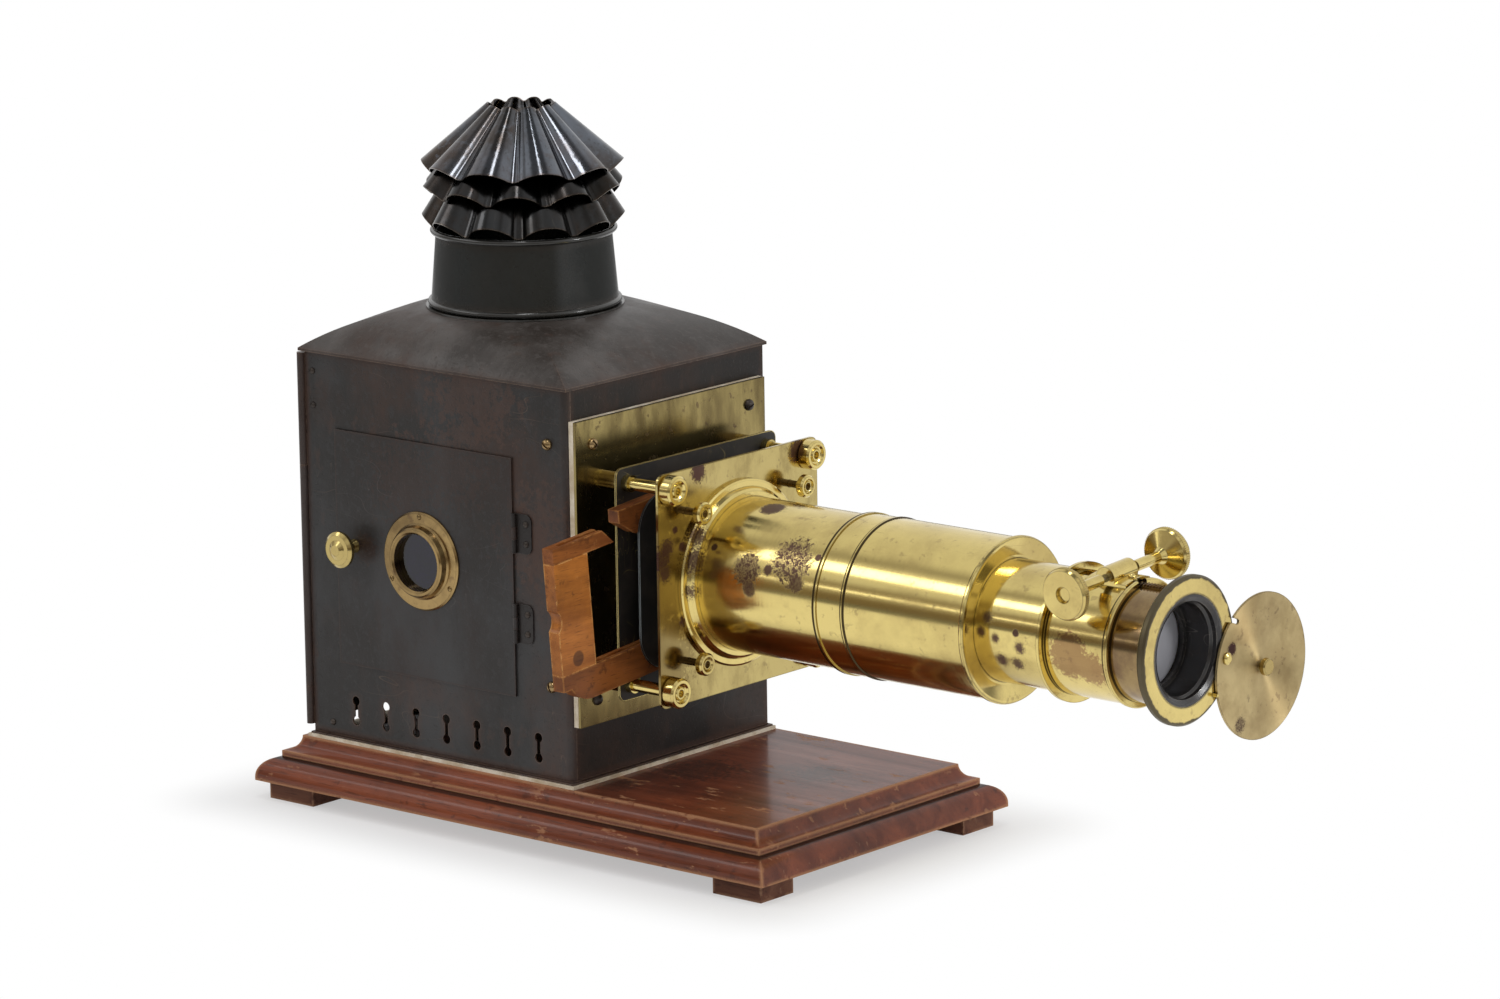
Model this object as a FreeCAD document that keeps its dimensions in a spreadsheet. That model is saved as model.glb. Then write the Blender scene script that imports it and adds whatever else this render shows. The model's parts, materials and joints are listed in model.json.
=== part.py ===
"""A tin-bodied magic lantern on a mahogany base, with its slide stage, brass objective and lamp.

The optical axis runs along +X, +Y points to the far side and +Z is up. The origin is on the table,
under the middle of the base. Lengths are millimetres and angles are degrees.
"""
import FreeCAD
import Part
import Sketcher
import math
import os

# Driving sizes, one row of the sheet each.
SIZES = {
    # Base boards and feet
    "base_length": 474.0,
    "base_width": 268.0,
    "foot_height": 13.5,
    "foot_length": 42.5,
    "foot_width": 34.0,
    "foot_inset": 7.5,
    "foot_hole": 2.4,
    "lower_board": 16.5,
    "ovolo_radius": 14.0,
    "upper_board": 15.5,
    "lip_inset": 14.0,
    "lip_height": 4.8,
    # House of bent sheet iron
    "packing": 2.4,
    "packing_margin": 1.5,
    "packing_band": 12.0,
    "house_setback": 31.4,
    "house_length": 246.3,
    "house_width": 206.4,
    "house_height": 277.6,
    "sheet": 1.2,
    "foot_flange": 4.0,
    "bend_radius": 5.0,
    "seam_width": 3.0,
    "vent_count": 7,
    "vent_pitch": 29.0,
    "vent_setback": 41.0,
    "vent_height": 14.0,
    "vent_span": 14.5,
    "vent_hole": 3.4,
    "vent_slot": 3.2,
    # Roof and chimney
    "eave_overhang": 3.5,
    "eave_lip": 2.0,
    "roof_rise": 28.5,
    "roof_bulge": 3.5,
    "roof_shoulder": 0.64,
    "chimney_shift": -5.5,
    "roof_ring": 70.0,
    "flue_radius": 61.0,
    "socket_flange": 1.5,
    "socket_height": 14.0,
    "socket_wall": 1.2,
    "collar_foot": 66.3,
    "collar_head": 62.0,
    "collar_height": 55.0,
    "collar_wall": 0.9,
    "collar_bead": 2.2,
    "tier_sheet": 0.8,
    "tier_flutes": 10,
    "tier_crest": 71.5,
    "tier_top_crest": 24.0,
    "tier_top_depth": 3.4,
    "tier_lobe_share": 0.8,
    "upper_tier_slope": 40.2,
    "upper_tier_depth": 8.2,
    "upper_tier_rise": 15.9,
    "upper_tier_facing": -53.5,
    "middle_tier_slope": 50.0,
    "middle_tier_depth": 10.5,
    "middle_tier_rise": 22.4,
    "middle_tier_facing": -34.0,
    "lower_tier_slope": 57.5,
    "lower_tier_depth": 10.8,
    "lower_tier_facing": -51.0,
    "solder_gap": 0.1,
    # Side door and its window
    "door_width": 167.9,
    "door_height": 169.5,
    "door_setback": 50.3,
    "door_sill": 55.1,
    "door_lap": 7.0,
    "door_gap": 0.3,
    "hinge_barrel": 1.9,
    "hinge_pin": 0.9,
    "hinge_fit": 0.05,
    "hinge_end_gap": 0.3,
    "hinge_length": 28.0,
    "hinge_leaf": 13.0,
    "hinge_leaf_sheet": 1.0,
    "hinge_leaf_corner": 5.0,
    "upper_hinge": 117.0,
    "lower_hinge": 53.0,
    "window_setback": 81.9,
    "window_height": 85.0,
    "bezel_radius": 35.3,
    "bezel_bore": 20.5,
    "bezel_flange": 2.1,
    "bezel_height": 8.0,
    "bezel_edge": 1.2,
    "glass_radius": 26.0,
    "glass_thickness": 1.9,
    "glass_play": 0.1,
    "bezel_screw_circle": 31.8,
    "door_knob_setback": 16.5,
    "door_knob_height": 87.0,
    "door_knob_radius": 13.0,
    "door_knob_shank": 4.0,
    "door_knob_standoff": 12.0,
    # Rear door on its wired edge
    "wire_radius": 1.5,
    "wire_barrel": 3.0,
    "wire_offset": 3.2,
    "rear_door_top_gap": 1.5,
    "rear_door_sill": 6.0,
    "rear_knuckle_low": 33.6,
    "rear_knuckle_high": 195.0,
    # Brass back plate, slide stage and its pillars
    "axis_height": 143.5,
    "front_packing": 4.0,
    "back_plate": 2.2,
    "back_plate_width": 201.0,
    "back_plate_above": 114.5,
    "back_plate_below": 101.0,
    "plate_screw_inset": 17.5,
    "screw_head": 4.2,
    "screw_shank": 2.0,
    "boss_length": 21.1,
    "boss_radius": 6.5,
    "stage_plate": 1.6,
    "plate_width": 170.0,
    "plate_height": 164.0,
    "plate_corner": 6.0,
    "pillar_inset": 11.0,
    "pillar_radius": 4.4,
    "pillar_collar": 6.0,
    "pillar_collar_length": 5.0,
    "pillar_length": 35.6,
    "tenon_radius": 2.6,
    "tenon_fit": 0.05,
    "objective_plate": 2.0,
    "nut_radius": 10.6,
    "nut_length": 9.5,
    "aperture_radius": 50.0,
    # Sprung pressure plate with four pull knobs
    "stage_play": 0.3,
    "pressure_plate": 1.6,
    "pressure_width": 150.0,
    "pressure_height": 124.0,
    "pressure_corner": 26.0,
    "pull_spread_y": 55.0,
    "pull_spread_z": 53.0,
    "pull_rod": 2.6,
    "pull_fit": 0.08,
    "pull_standoff": 8.8,
    "pull_knob": 8.0,
    "pull_knob_length": 8.5,
    "spring_radius": 4.6,
    "spring_wire": 0.5,
    "spring_turns": 6,
    "spring_flats": 8,
    # Wooden slide carrier and one glass slide
    "carrier_thickness": 9.5,
    "carrier_height": 101.6,
    "carrier_length": 256.5,
    "carrier_reach": 78.5,
    "carrier_end": 34.5,
    "carrier_rail": 11.0,
    "carrier_arm": 62.0,
    "carrier_gap": 7.0,
    "carrier_keel": 11.5,
    "carrier_keel_start": 4.7,
    "carrier_keel_round": 24.0,
    "carrier_bevel": 16.0,
    "carrier_crest": 9.0,
    "carrier_crest_length": 95.0,
    "carrier_slot_start": 10.0,
    "carrier_plug_place": 17.0,
    "carrier_plug_height": 20.0,
    "carrier_plug_fit": 0.05,
    "carrier_tilt": 5.2,
    "carrier_notch": 10.0,
    "carrier_notch_depth": 3.5,
    "carrier_notch_height": 50.0,
    "carrier_plug": 6.0,
    "carrier_groove": 1.8,
    "slide_size": 82.55,
    "slide_thickness": 2.9,
    "slide_play": 0.3,
    "slide_place": 111.0,
    # Condenser
    "condenser_radius": 50.8,
    "condenser_wall": 2.0,
    "condenser_length": 62.0,
    "condenser_flange": 60.0,
    "condenser_sag": 17.0,
    "condenser_edge": 3.0,
    "lens_fit": 0.1,
    # Front nozzle and draw tube
    "nozzle_radius": 54.0,
    "nozzle_wall": 1.6,
    "nozzle_length": 155.0,
    "nozzle_flange": 65.6,
    "nozzle_flange_height": 8.0,
    "draw_extension": 111.3,
    "draw_fit": 0.08,
    "sleeve_wall": 1.5,
    "sleeve_length": 126.5,
    "sleeve_bead_place": 25.5,
    "sleeve_bead": 0.8,
    "sleeve_flange": 57.3,
    "sleeve_flange_thickness": 4.0,
    # Objective: jacket, rack and pinion, focusing tube
    "jacket_radius": 42.0,
    "jacket_length": 113.0,
    "jacket_tail": 8.0,
    "jacket_ring": 47.5,
    "jacket_ring_place": 58.0,
    "jacket_ring_thickness": 2.5,
    "jacket_bead": 1.6,
    "objective_roll": 3.8,
    "pinion_place": 92.0,
    "gear_module": 0.8,
    "pinion_teeth": 10,
    "pinion_width": 6.0,
    "tooth_backlash": 0.5,
    "tooth_clearance": 0.25,
    "spindle_radius": 2.5,
    "spindle_length": 96.0,
    "spindle_fit": 0.06,
    "box_radius": 7.6,
    "box_length": 26.0,
    "saddle_length": 34.0,
    "saddle_thickness": 2.2,
    "focus_knob": 17.5,
    "focus_knob_stem": 4.0,
    "focus_knob_gap": 6.0,
    "focus_knob_length": 40.0,
    "focus_radius": 39.2,
    "focus_wall": 1.6,
    "focus_fit": 0.06,
    "focus_length": 132.0,
    "focus_extension": 30.0,
    "focus_travel": 12.0,
    "rack_width": 7.0,
    "rack_play": 0.8,
    "rack_teeth_behind": 6,
    "lens_flange": 50.5,
    "lens_flange_thickness": 5.5,
    "lens_socket": 6.0,
    "lens_cell_depth": 24.0,
    "lens_cell_lip": 33.0,
    "lens_radius": 29.0,
    # Swinging lens cap
    "cap_radius": 50.0,
    "cap_thickness": 1.6,
    "cap_gap": 0.6,
    "cap_pivot_radius": 41.0,
    "cap_pivot_angle": -17.8,
    "cap_pivot_pin": 2.0,
    "cap_pivot_head": 4.2,
    "cap_fit": 0.06,
    "cap_stop_reach": 25.6,
    "cap_stop_bearing": 242.4,
    "cap_stop_pin": 1.3,
    "cap_stop_play": 0.4,
    "cap_knob_radius": 6.0,
    # Oil lamp inside the house
    "lamp_gap": 25.0,
    "lamp_length": 105.0,
    "lamp_width": 88.0,
    "lamp_height": 34.0,
    "lamp_corner": 8.0,
    "burner_radius": 22.0,
    "burner_height": 84.0,
    "burner_place": 50.0,
    "burner_wall": 1.5,
    "wick_thickness": 3.0,
    "wick_width": 26.0,
    "wick_height": 66.0,
    "wick_play": 0.3,
    "wick_proud": 6.0,
    "wick_travel": 5.0,
    "wick_wheel": 5.0,
    "wick_spindle": 2.0,
    "wick_spindle_length": 78.0,
    "wick_spindle_height": 52.0,
    "wick_knob": 10.0,
    "reflector_radius": 46.0,
    "reflector_sag": 14.0,
    "reflector_wall": 1.2,
    "reflector_place": 6.0,
    "reflector_post": 4.0,
    # Small fasteners
    "rivet_radius": 2.4,
    "rivet_inset": 7.0,
    "rivet_drop": 14.0,
    "rivet_second_drop": 38.5,
    "low_rivet_inset": 18.2,
    "low_rivet_rise": 9.8,
    "side_screw_lift": 9.0,
}

doc = FreeCAD.newDocument("MagicLantern")
Vector = FreeCAD.Vector
NODES = {}


class Size:
    """A number together with the sheet expression that it comes from."""

    def __init__(self, value, text):
        self.value = float(value)
        self.text = text

    def __add__(self, other):
        return Size(self.value + number(other), f"({self.text} + {text(other)})")

    def __radd__(self, other):
        return Size(number(other) + self.value, f"({text(other)} + {self.text})")

    def __sub__(self, other):
        return Size(self.value - number(other), f"({self.text} - {text(other)})")

    def __rsub__(self, other):
        return Size(number(other) - self.value, f"({text(other)} - {self.text})")

    def __mul__(self, other):
        return Size(self.value * number(other), f"({self.text} * {text(other)})")

    def __rmul__(self, other):
        return Size(number(other) * self.value, f"({text(other)} * {self.text})")

    def __truediv__(self, other):
        return Size(self.value / number(other), f"({self.text} / {text(other)})")

    def __neg__(self):
        return Size(-self.value, f"(-1 * {self.text})")


def number(size):
    """The plain number of a size."""
    return size.value if isinstance(size, Size) else float(size)


def text(size):
    """The expression of a size."""
    return size.text if isinstance(size, Size) else repr(float(size))


def fill_sheet():
    """Write the driving sizes into the sheet and return one Size for each of them."""
    sheet = doc.addObject("Spreadsheet::Sheet", "Sizes")
    for row, (name, value) in enumerate(SIZES.items(), start=1):
        sheet.set(f"A{row}", name)
        sheet.set(f"B{row}", str(value))
        sheet.setAlias(f"B{row}", name)
    doc.recompute()
    return {name: Size(value, f"Sizes.{name}") for name, value in SIZES.items()}


class Named:
    """The driving sizes as attributes."""

    def __init__(self, sizes):
        self.__dict__.update(sizes)


S = Named(fill_sheet())

UP = FreeCAD.Rotation()
ALONG = {
    "x": FreeCAD.Rotation(Vector(0, 0, 1), Vector(1, 0, 0)),
    "y": FreeCAD.Rotation(Vector(0, 0, 1), Vector(0, 1, 0)),
    "z": UP,
}


def bind(thing, path, size):
    """Tie a property to the sheet."""
    thing.setExpression(path, text(size))


def place(thing, at=(0, 0, 0), roll=0):
    """Put a piece at a point, rolled about a line along X through that point."""
    turn = FreeCAD.Rotation(Vector(1, 0, 0), number(roll))
    thing.Placement = FreeCAD.Placement(Vector(*map(number, at)), turn)
    for letter, size in zip("xyz", at):
        bind(thing, f"Placement.Base.{letter}", size)
    if number(roll):
        bind(thing, "Placement.Rotation.Angle", roll * Size(1, "1 deg"))
    return thing


def box(low, high):
    """A block between two corners."""
    block = doc.addObject("Part::Box", "Block")
    place(block, low)
    for side, start, end in zip(("Length", "Width", "Height"), low, high):
        bind(block, side, end - start)
    return block


def stand(thing, axis, at):
    """Put a piece that was made along Z at a point, along X, Y or Z."""
    place(thing, at)
    thing.Placement = FreeCAD.Placement(thing.Placement.Base, ALONG[axis])
    return thing


def rod(axis, at, radius, length):
    """A round bar from a point along X, Y or Z."""
    bar = stand(doc.addObject("Part::Cylinder", "Bar"), axis, at)
    bind(bar, "Radius", radius)
    bind(bar, "Height", length)
    return bar


def ball(at, radius):
    """A sphere about a point."""
    sphere = doc.addObject("Part::Sphere", "Ball")
    place(sphere, at)
    bind(sphere, "Radius", radius)
    return sphere


def hoop(axis, at, radius, wire):
    """A ring of round wire about an axis."""
    ring = stand(doc.addObject("Part::Torus", "Hoop"), axis, at)
    bind(ring, "Radius1", radius)
    bind(ring, "Radius2", wire)
    return ring


def fuse(*pieces):
    """One solid from pieces that meet."""
    whole = doc.addObject("Part::MultiFuse", "Whole")
    whole.Shapes = list(pieces)
    return whole


def cut(piece, *tools):
    """A piece less its tools."""
    rest = doc.addObject("Part::Cut", "Rest")
    rest.Base = piece
    rest.Tool = tools[0] if len(tools) == 1 else fuse(*tools)
    return rest


def common(first, second):
    """What two pieces share."""
    shared = doc.addObject("Part::Common", "Shared")
    shared.Base = first
    shared.Tool = second
    return shared


def group(*pieces):
    """Separate solids that share a node."""
    together = doc.addObject("Part::Compound", "Group")
    together.Links = list(pieces)
    return together


def code_made(shape):
    """A piece whose shape comes straight from Part's functions."""
    feature = doc.addObject("Part::Feature", "Formed")
    feature.Shape = shape
    return feature


def node(label, piece):
    """Name a finished sub-part."""
    piece.Label = label
    NODES[label] = piece
    return piece


def sketch_on(body, plane):
    """A sketch on one of a body's own origin planes."""
    sketch = body.newObject("Sketcher::SketchObject", "Sketch")
    support = [feature for feature in body.Origin.OriginFeatures if feature.Role == plane]
    sketch.AttachmentSupport = (support[0], [""])
    sketch.MapMode = "FlatFace"
    return sketch


def pin_point(sketch, line, end, x, y):
    """Hold one point of a sketch at bound distances from the origin."""
    for kind, axis, size in (("DistanceX", -2, x), ("DistanceY", -1, y)):
        if number(size) == 0:
            sketch.addConstraint(Sketcher.Constraint("PointOnObject", line, end, axis))
            continue
        index = sketch.addConstraint(Sketcher.Constraint(kind, -1, 1, line, end, number(size)))
        bind(sketch, f"Constraints[{index}]", size)


def draw_loop(sketch, points):
    """A closed loop of straight lines through bound points."""
    first = sketch.GeometryCount
    count = len(points)
    for index, (x, y) in enumerate(points):
        ahead = points[(index + 1) % count]
        start = Vector(number(x), number(y), 0)
        end = Vector(number(ahead[0]), number(ahead[1]), 0)
        sketch.addGeometry(Part.LineSegment(start, end), False)
    for index in range(count):
        before = first + (index - 1) % count
        sketch.addConstraint(Sketcher.Constraint("Coincident", before, 2, first + index, 1))
    for index, (x, y) in enumerate(points):
        pin_point(sketch, first + index, 1, x, y)


def draw_circle(sketch, x, y, radius):
    """A bound circle."""
    middle = Vector(number(x), number(y), 0)
    index = sketch.addGeometry(Part.Circle(middle, Vector(0, 0, 1), number(radius)), False)
    pin_point(sketch, index, 3, x, y)
    rule = sketch.addConstraint(Sketcher.Constraint("Radius", index, number(radius)))
    bind(sketch, f"Constraints[{rule}]", radius)


def round_edges(body, radius, chosen):
    """Round the edges of a body's tip that a test picks out."""
    doc.recompute()
    tip = body.Tip
    names = [f"Edge{index}" for index, edge in enumerate(tip.Shape.Edges, start=1) if chosen(edge)]
    fillet = body.newObject("PartDesign::Fillet", "Rounding")
    fillet.Base = (tip, names)
    bind(fillet, "Radius", radius)
    body.Tip = fillet
    return body


TURNING = {"x": ("XZ_Plane", "H_Axis"), "y": ("YZ_Plane", "H_Axis"), "z": ("XZ_Plane", "V_Axis")}


def turned(axis, profile, at=(0, 0, 0), roll=0, rounds=()):
    """A lathe-turned piece from (along, radius) corners, some of them rounded."""
    body = doc.addObject("PartDesign::Body", "Turned")
    plane, line = TURNING[axis]
    sketch = sketch_on(body, plane)
    draw_loop(sketch, [(r, a) if axis == "z" else (a, r) for a, r in profile])
    turn = body.newObject("PartDesign::Revolution", "Turn")
    turn.Profile = sketch
    turn.ReferenceAxis = (sketch, [line])
    turn.Angle = 360
    body.Tip = turn
    for corner, radius in rounds:
        along, reach = map(number, profile[corner])
        round_edges(body, radius, lambda edge: is_ring(edge, axis, along, reach))
    return place(body, at, roll)


def is_ring(edge, axis, along, radius):
    """Whether an edge is the full circle of this radius at this place on an axis."""
    if not isinstance(edge.Curve, Part.Circle):
        return False
    middle = edge.Curve.Center
    there = {"x": middle.x, "y": middle.y, "z": middle.z}[axis]
    return abs(edge.Curve.Radius - radius) < 1e-5 and abs(there - along) < 1e-5


PADDING = {"x": "YZ_Plane", "y": "XZ_Plane", "z": "XY_Plane"}


def padded(axis, outline, thickness, holes=(), at=(0, 0, 0), roll=0):
    """A plate from its outline and round holes, padded along X, away along -Y, or up along Z."""
    body = doc.addObject("PartDesign::Body", "Plate")
    sketch = sketch_on(body, PADDING[axis])
    draw_loop(sketch, outline)
    for x, y, radius in holes:
        draw_circle(sketch, x, y, radius)
    pad = body.newObject("PartDesign::Pad", "Pad")
    pad.Profile = sketch
    bind(pad, "Length", thickness)
    body.Tip = pad
    return place(body, at, roll)


def rectangle(low_x, low_y, high_x, high_y):
    """The four corners of a rectangle."""
    return [(low_x, low_y), (high_x, low_y), (high_x, high_y), (low_x, high_y)]


def round_corners(body, axis, radius):
    """Round the four corner edges of a padded rectangle."""
    def at_corner(edge):
        box_of = edge.BoundBox
        flat = {"x": (box_of.YLength, box_of.ZLength), "y": (box_of.XLength, box_of.ZLength),
                "z": (box_of.XLength, box_of.YLength)}[axis]
        return isinstance(edge.Curve, Part.Line) and max(flat) < 1e-6
    return round_edges(body, radius, at_corner)


# Places worked out from the driving sizes
board_top = S.foot_height + S.lower_board + S.upper_board
floor = board_top + S.packing
eaves = floor + S.house_height
rear = S.house_setback - S.base_length / 2
front = rear + S.house_length
side = S.house_width / 2
middle = (rear + front) / 2
axis = board_top + S.axis_height

plate_back = front + S.front_packing
plate_face = plate_back + S.back_plate
stage_back = plate_face + S.boss_length
stage_face = stage_back + S.stage_plate
carrier_back = stage_face + S.stage_play
carrier_face = carrier_back + S.carrier_thickness
press_back = carrier_face + S.stage_play
press_face = press_back + S.pressure_plate
front_back = stage_face + S.pillar_length
front_face = front_back + S.objective_plate
pillar_y = S.plate_width / 2 - S.pillar_inset
pillar_z = S.plate_height / 2 - S.pillar_inset

sleeve_rear = front_face + S.draw_extension
sleeve_front = sleeve_rear + S.sleeve_length
jacket_front = sleeve_front + S.jacket_length
pinion_x = sleeve_front + S.pinion_place
flange_back = jacket_front + S.focus_extension
flange_face = flange_back + S.lens_flange_thickness
cap_back = flange_face + S.cap_gap
cap_face = cap_back + S.cap_thickness

CORNERS = [(-1, -1), (1, -1), (-1, 1), (1, 1)]


# Base

def base_boards():
    half_x = S.base_length / 2
    half_y = S.base_width / 2
    outline = rectangle(-half_x, -half_y, half_x, half_y)
    lower = padded("z", outline, S.lower_board, at=(0, 0, S.foot_height))
    crown = number(S.lower_board)
    on_top = lambda edge: edge.BoundBox.ZMin > crown - 1e-6
    node("base_lower_board", round_edges(lower, S.ovolo_radius, on_top))

    lip_x = half_x - S.lip_inset
    lip_y = half_y - S.lip_inset
    bottom = S.foot_height + S.lower_board
    board = box((-lip_x, -lip_y, bottom), (lip_x, lip_y, board_top))
    cove = S.upper_board - S.lip_height
    coves = []
    for sign in (-1, 1):
        coves.append(rod("x", (-half_x, lip_y * sign, board_top), cove, S.base_length))
        coves.append(rod("y", (lip_x * sign, -half_y, board_top), cove, S.base_width))
    node("base_upper_board", cut(board, *coves))


def base_feet():
    """Block feet, each with a screw hole up its middle for fixing the lantern to a stand."""
    feet = []
    out_x = S.base_length / 2 - S.foot_inset
    out_y = S.base_width / 2 - S.foot_inset
    for sign_x, sign_y in CORNERS:
        low_x = out_x - S.foot_length if sign_x > 0 else -out_x
        low_y = out_y - S.foot_width if sign_y > 0 else -out_y
        foot = box((low_x, low_y, 0), (low_x + S.foot_length, low_y + S.foot_width, S.foot_height))
        middle = (low_x + S.foot_length / 2, low_y + S.foot_width / 2, 0)
        feet.append(cut(foot, rod("z", middle, S.foot_hole, S.foot_height)))
    node("base_feet", group(*feet))


def base_packing():
    over = S.foot_flange + S.packing_margin
    outer = box((rear - S.packing_margin, -side - over, board_top), (front + over, side + over, floor))
    band = S.packing_band
    hollow = box((rear + band, band - side, board_top), (front - band, side - band, floor))
    node("base_packing", cut(outer, hollow))


# House

def vent_tools():
    """Seven keyhole vents that run right through both side walls."""
    tools = []
    across = S.house_width + 4 * S.foot_flange
    start = -across / 2
    low = floor + S.vent_height
    for index in range(int(SIZES["vent_count"])):
        x = rear + S.vent_setback + index * S.vent_pitch
        half = S.vent_slot / 2
        tools.append(rod("y", (x, start, low), S.vent_hole, across))
        tools.append(rod("y", (x, start, low + S.vent_span), S.vent_hole, across))
        tools.append(box((x - half, start, low), (x + half, start + across, low + S.vent_span)))
    return fuse(*tools)


door_front = front - S.door_setback
door_rear = door_front - S.door_width
door_low = floor + S.door_sill
door_high = door_low + S.door_height
door_inner = -side - S.door_gap
door_outer = door_inner - S.sheet
hinge_x = door_front + S.door_gap + S.hinge_barrel
hinge_y = door_inner - S.hinge_barrel
wire_x = rear - S.wire_offset
wire_y = -side - S.sheet / 2
knuckle_low = floor + S.rear_knuckle_low
knuckle_high = floor + S.rear_knuckle_high


def near_side_wall(vents):
    bend = S.bend_radius
    sheet = box((rear, -side, floor), (front - bend, S.sheet - side, eaves))
    curve = rod("z", (front - bend, bend - side, floor), bend, S.house_height)
    hollow = rod("z", (front - bend, bend - side, floor), bend - S.sheet, S.house_height)
    quarter = box((front - bend, -side, floor), (front, bend - side, eaves))
    corner = common(cut(curve, hollow), quarter)
    flange = box((rear, -side - S.foot_flange, floor), (front, S.sheet - side, floor + S.sheet))
    lip = S.foot_flange
    corner_flange = box((front - bend, -side - lip, floor), (front + lip, bend - side, floor + S.sheet))
    knuckles = []
    for low, high in ((floor + S.rear_door_sill, knuckle_low), (knuckle_high, eaves - S.rear_door_top_gap)):
        tab = box((wire_x, -side, low), (rear + S.sheet, S.sheet - side, high))
        knuckles.append(fuse(tab, rod("z", (wire_x, wire_y, low), S.wire_barrel, high - low)))
    bore = rod("z", (wire_x, wire_y, floor), S.wire_radius + S.hinge_fit, S.house_height)
    lap = S.door_lap
    low_corner = (door_rear + lap, -side - lap, door_low + lap)
    doorway = box(low_corner, (door_front - lap, lap - side, door_high - lap))
    whole = fuse(sheet, corner, flange, corner_flange, *knuckles)
    node("near_side_wall", cut(whole, vents, bore, doorway))


def far_side_wall(vents):
    sheet = box((rear, side - S.sheet, floor), (front - S.sheet, side, eaves))
    flange = box((rear, side - S.sheet, floor), (front - S.sheet, side + S.foot_flange, floor + S.sheet))
    node("far_side_wall", cut(fuse(sheet, flange), vents))


def front_wall():
    low_y = S.bend_radius - side
    sheet = box((front - S.sheet, low_y, floor), (front, side + S.seam_width, eaves))
    lip = S.foot_flange
    flange = box((front - S.sheet, low_y, floor), (front + lip, side + lip, floor + S.sheet))
    bore = S.condenser_radius + S.condenser_wall + S.lens_fit
    opening = rod("x", (front - 2 * S.sheet, 0, axis), bore, 4 * S.sheet)
    node("front_wall", cut(fuse(sheet, flange), opening))


EIGHT_WAYS = [(1, 0), (1, 1), (0, 1), (-1, 1), (-1, 0), (-1, -1), (0, -1), (1, -1)]


def roof_section(half_x, half_y, ring, share, height, bulge):
    """One level of the roof, part of the way from the eaves rectangle to the chimney ring."""
    corners = []
    for step, (way_x, way_y) in enumerate(EIGHT_WAYS):
        corners.append((half_x * way_x, half_y * way_y, math.radians(45 * step)))
    edges = []
    for step in range(8):
        ends = [corners[step], corners[(step + 1) % 8]]
        points = [mixed((x, y), angle, ring, share, height, bulge) for x, y, angle in ends]
        half_way = ((ends[0][0] + ends[1][0]) / 2, (ends[0][1] + ends[1][1]) / 2)
        turn = ends[0][2] + math.radians(22.5)
        crown = mixed(half_way, turn, ring, share, height, bulge)
        if share == 0:
            edges.append(Part.LineSegment(points[0], points[1]).toShape())
        else:
            edges.append(Part.Arc(points[0], crown, points[1]).toShape())
    return Part.Wire(edges)


def mixed(square, angle, ring, share, height, bulge):
    """A point part of the way from the eaves to the ring, pushed out by the bulge."""
    x = square[0] * (1 - share) + share * (SIZES["chimney_shift"] + (ring + bulge) * math.cos(angle))
    y = square[1] * (1 - share) + share * (ring + bulge) * math.sin(angle)
    return Vector(x, y, height)


def roof_form(half_x, half_y, ring, low, rise, bulge):
    """The solid under one roof surface."""
    levels = [
        roof_section(half_x, half_y, ring, 0, low, 0),
        roof_section(half_x, half_y, ring, 0.5, low + rise * SIZES["roof_shoulder"], 2 * bulge),
        roof_section(half_x, half_y, ring, 1, low + rise, 0),
    ]
    return Part.makeLoft(levels, True, False)


def roof():
    sheet = number(S.sheet)
    half_x = number(S.house_length / 2 + S.eave_overhang)
    half_y = number(S.house_width / 2 + S.eave_overhang)
    lip = number(S.eave_lip)
    ring = number(S.roof_ring)
    rise = number(S.roof_rise)
    bulge = number(S.roof_bulge)
    outer = roof_form(half_x, half_y, ring, lip, rise, bulge)
    inner = roof_form(half_x - 2 * sheet, half_y - 2 * sheet, ring - 2 * sheet, lip - sheet, rise, bulge)
    slab = Part.makeBox(2 * half_x, 2 * half_y, lip, Vector(-half_x, -half_y, 0))
    inner_x = half_x - 3 * sheet
    inner_y = half_y - 3 * sheet
    inside = Part.makeBox(2 * inner_x, 2 * inner_y, lip, Vector(-inner_x, -inner_y, 0))
    flue = Part.makeCylinder(number(S.flue_radius), rise + 2 * lip, Vector(number(S.chimney_shift), 0, 0))
    shell = outer.cut(inner).fuse(slab.cut(inside)).cut(flue)
    piece = code_made(shell.removeSplitter())
    node("roof", place(piece, (middle, 0, eaves)))


roof_top = eaves + S.eave_lip + S.roof_rise
chimney_x = middle + S.chimney_shift


def chimney_socket():
    upstand = S.flue_radius + S.socket_wall
    profile = [
        (0, S.flue_radius),
        (0, S.roof_ring),
        (S.socket_flange, S.roof_ring),
        (S.socket_flange, upstand),
        (S.socket_height, upstand),
        (S.socket_height, S.flue_radius),
    ]
    node("chimney_socket", turned("z", profile, (chimney_x, 0, roof_top)))


collar_low = roof_top + S.socket_flange + S.stage_play
collar_top = collar_low + S.collar_height


def chimney_collar():
    bead = S.collar_bead
    profile = [
        (bead, S.collar_foot - S.collar_wall),
        (bead, S.collar_foot),
        (S.collar_height - bead, S.collar_head),
        (S.collar_height - bead, S.collar_head - S.collar_wall),
    ]
    wall = turned("z", profile, (chimney_x, 0, collar_low))
    foot = hoop("z", (chimney_x, 0, collar_low + bead), S.collar_foot, bead)
    head = hoop("z", (chimney_x, 0, collar_top - bead), S.collar_head + bead - S.collar_wall / 2, bead)
    node("chimney_collar", fuse(wall, foot, head))


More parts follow.
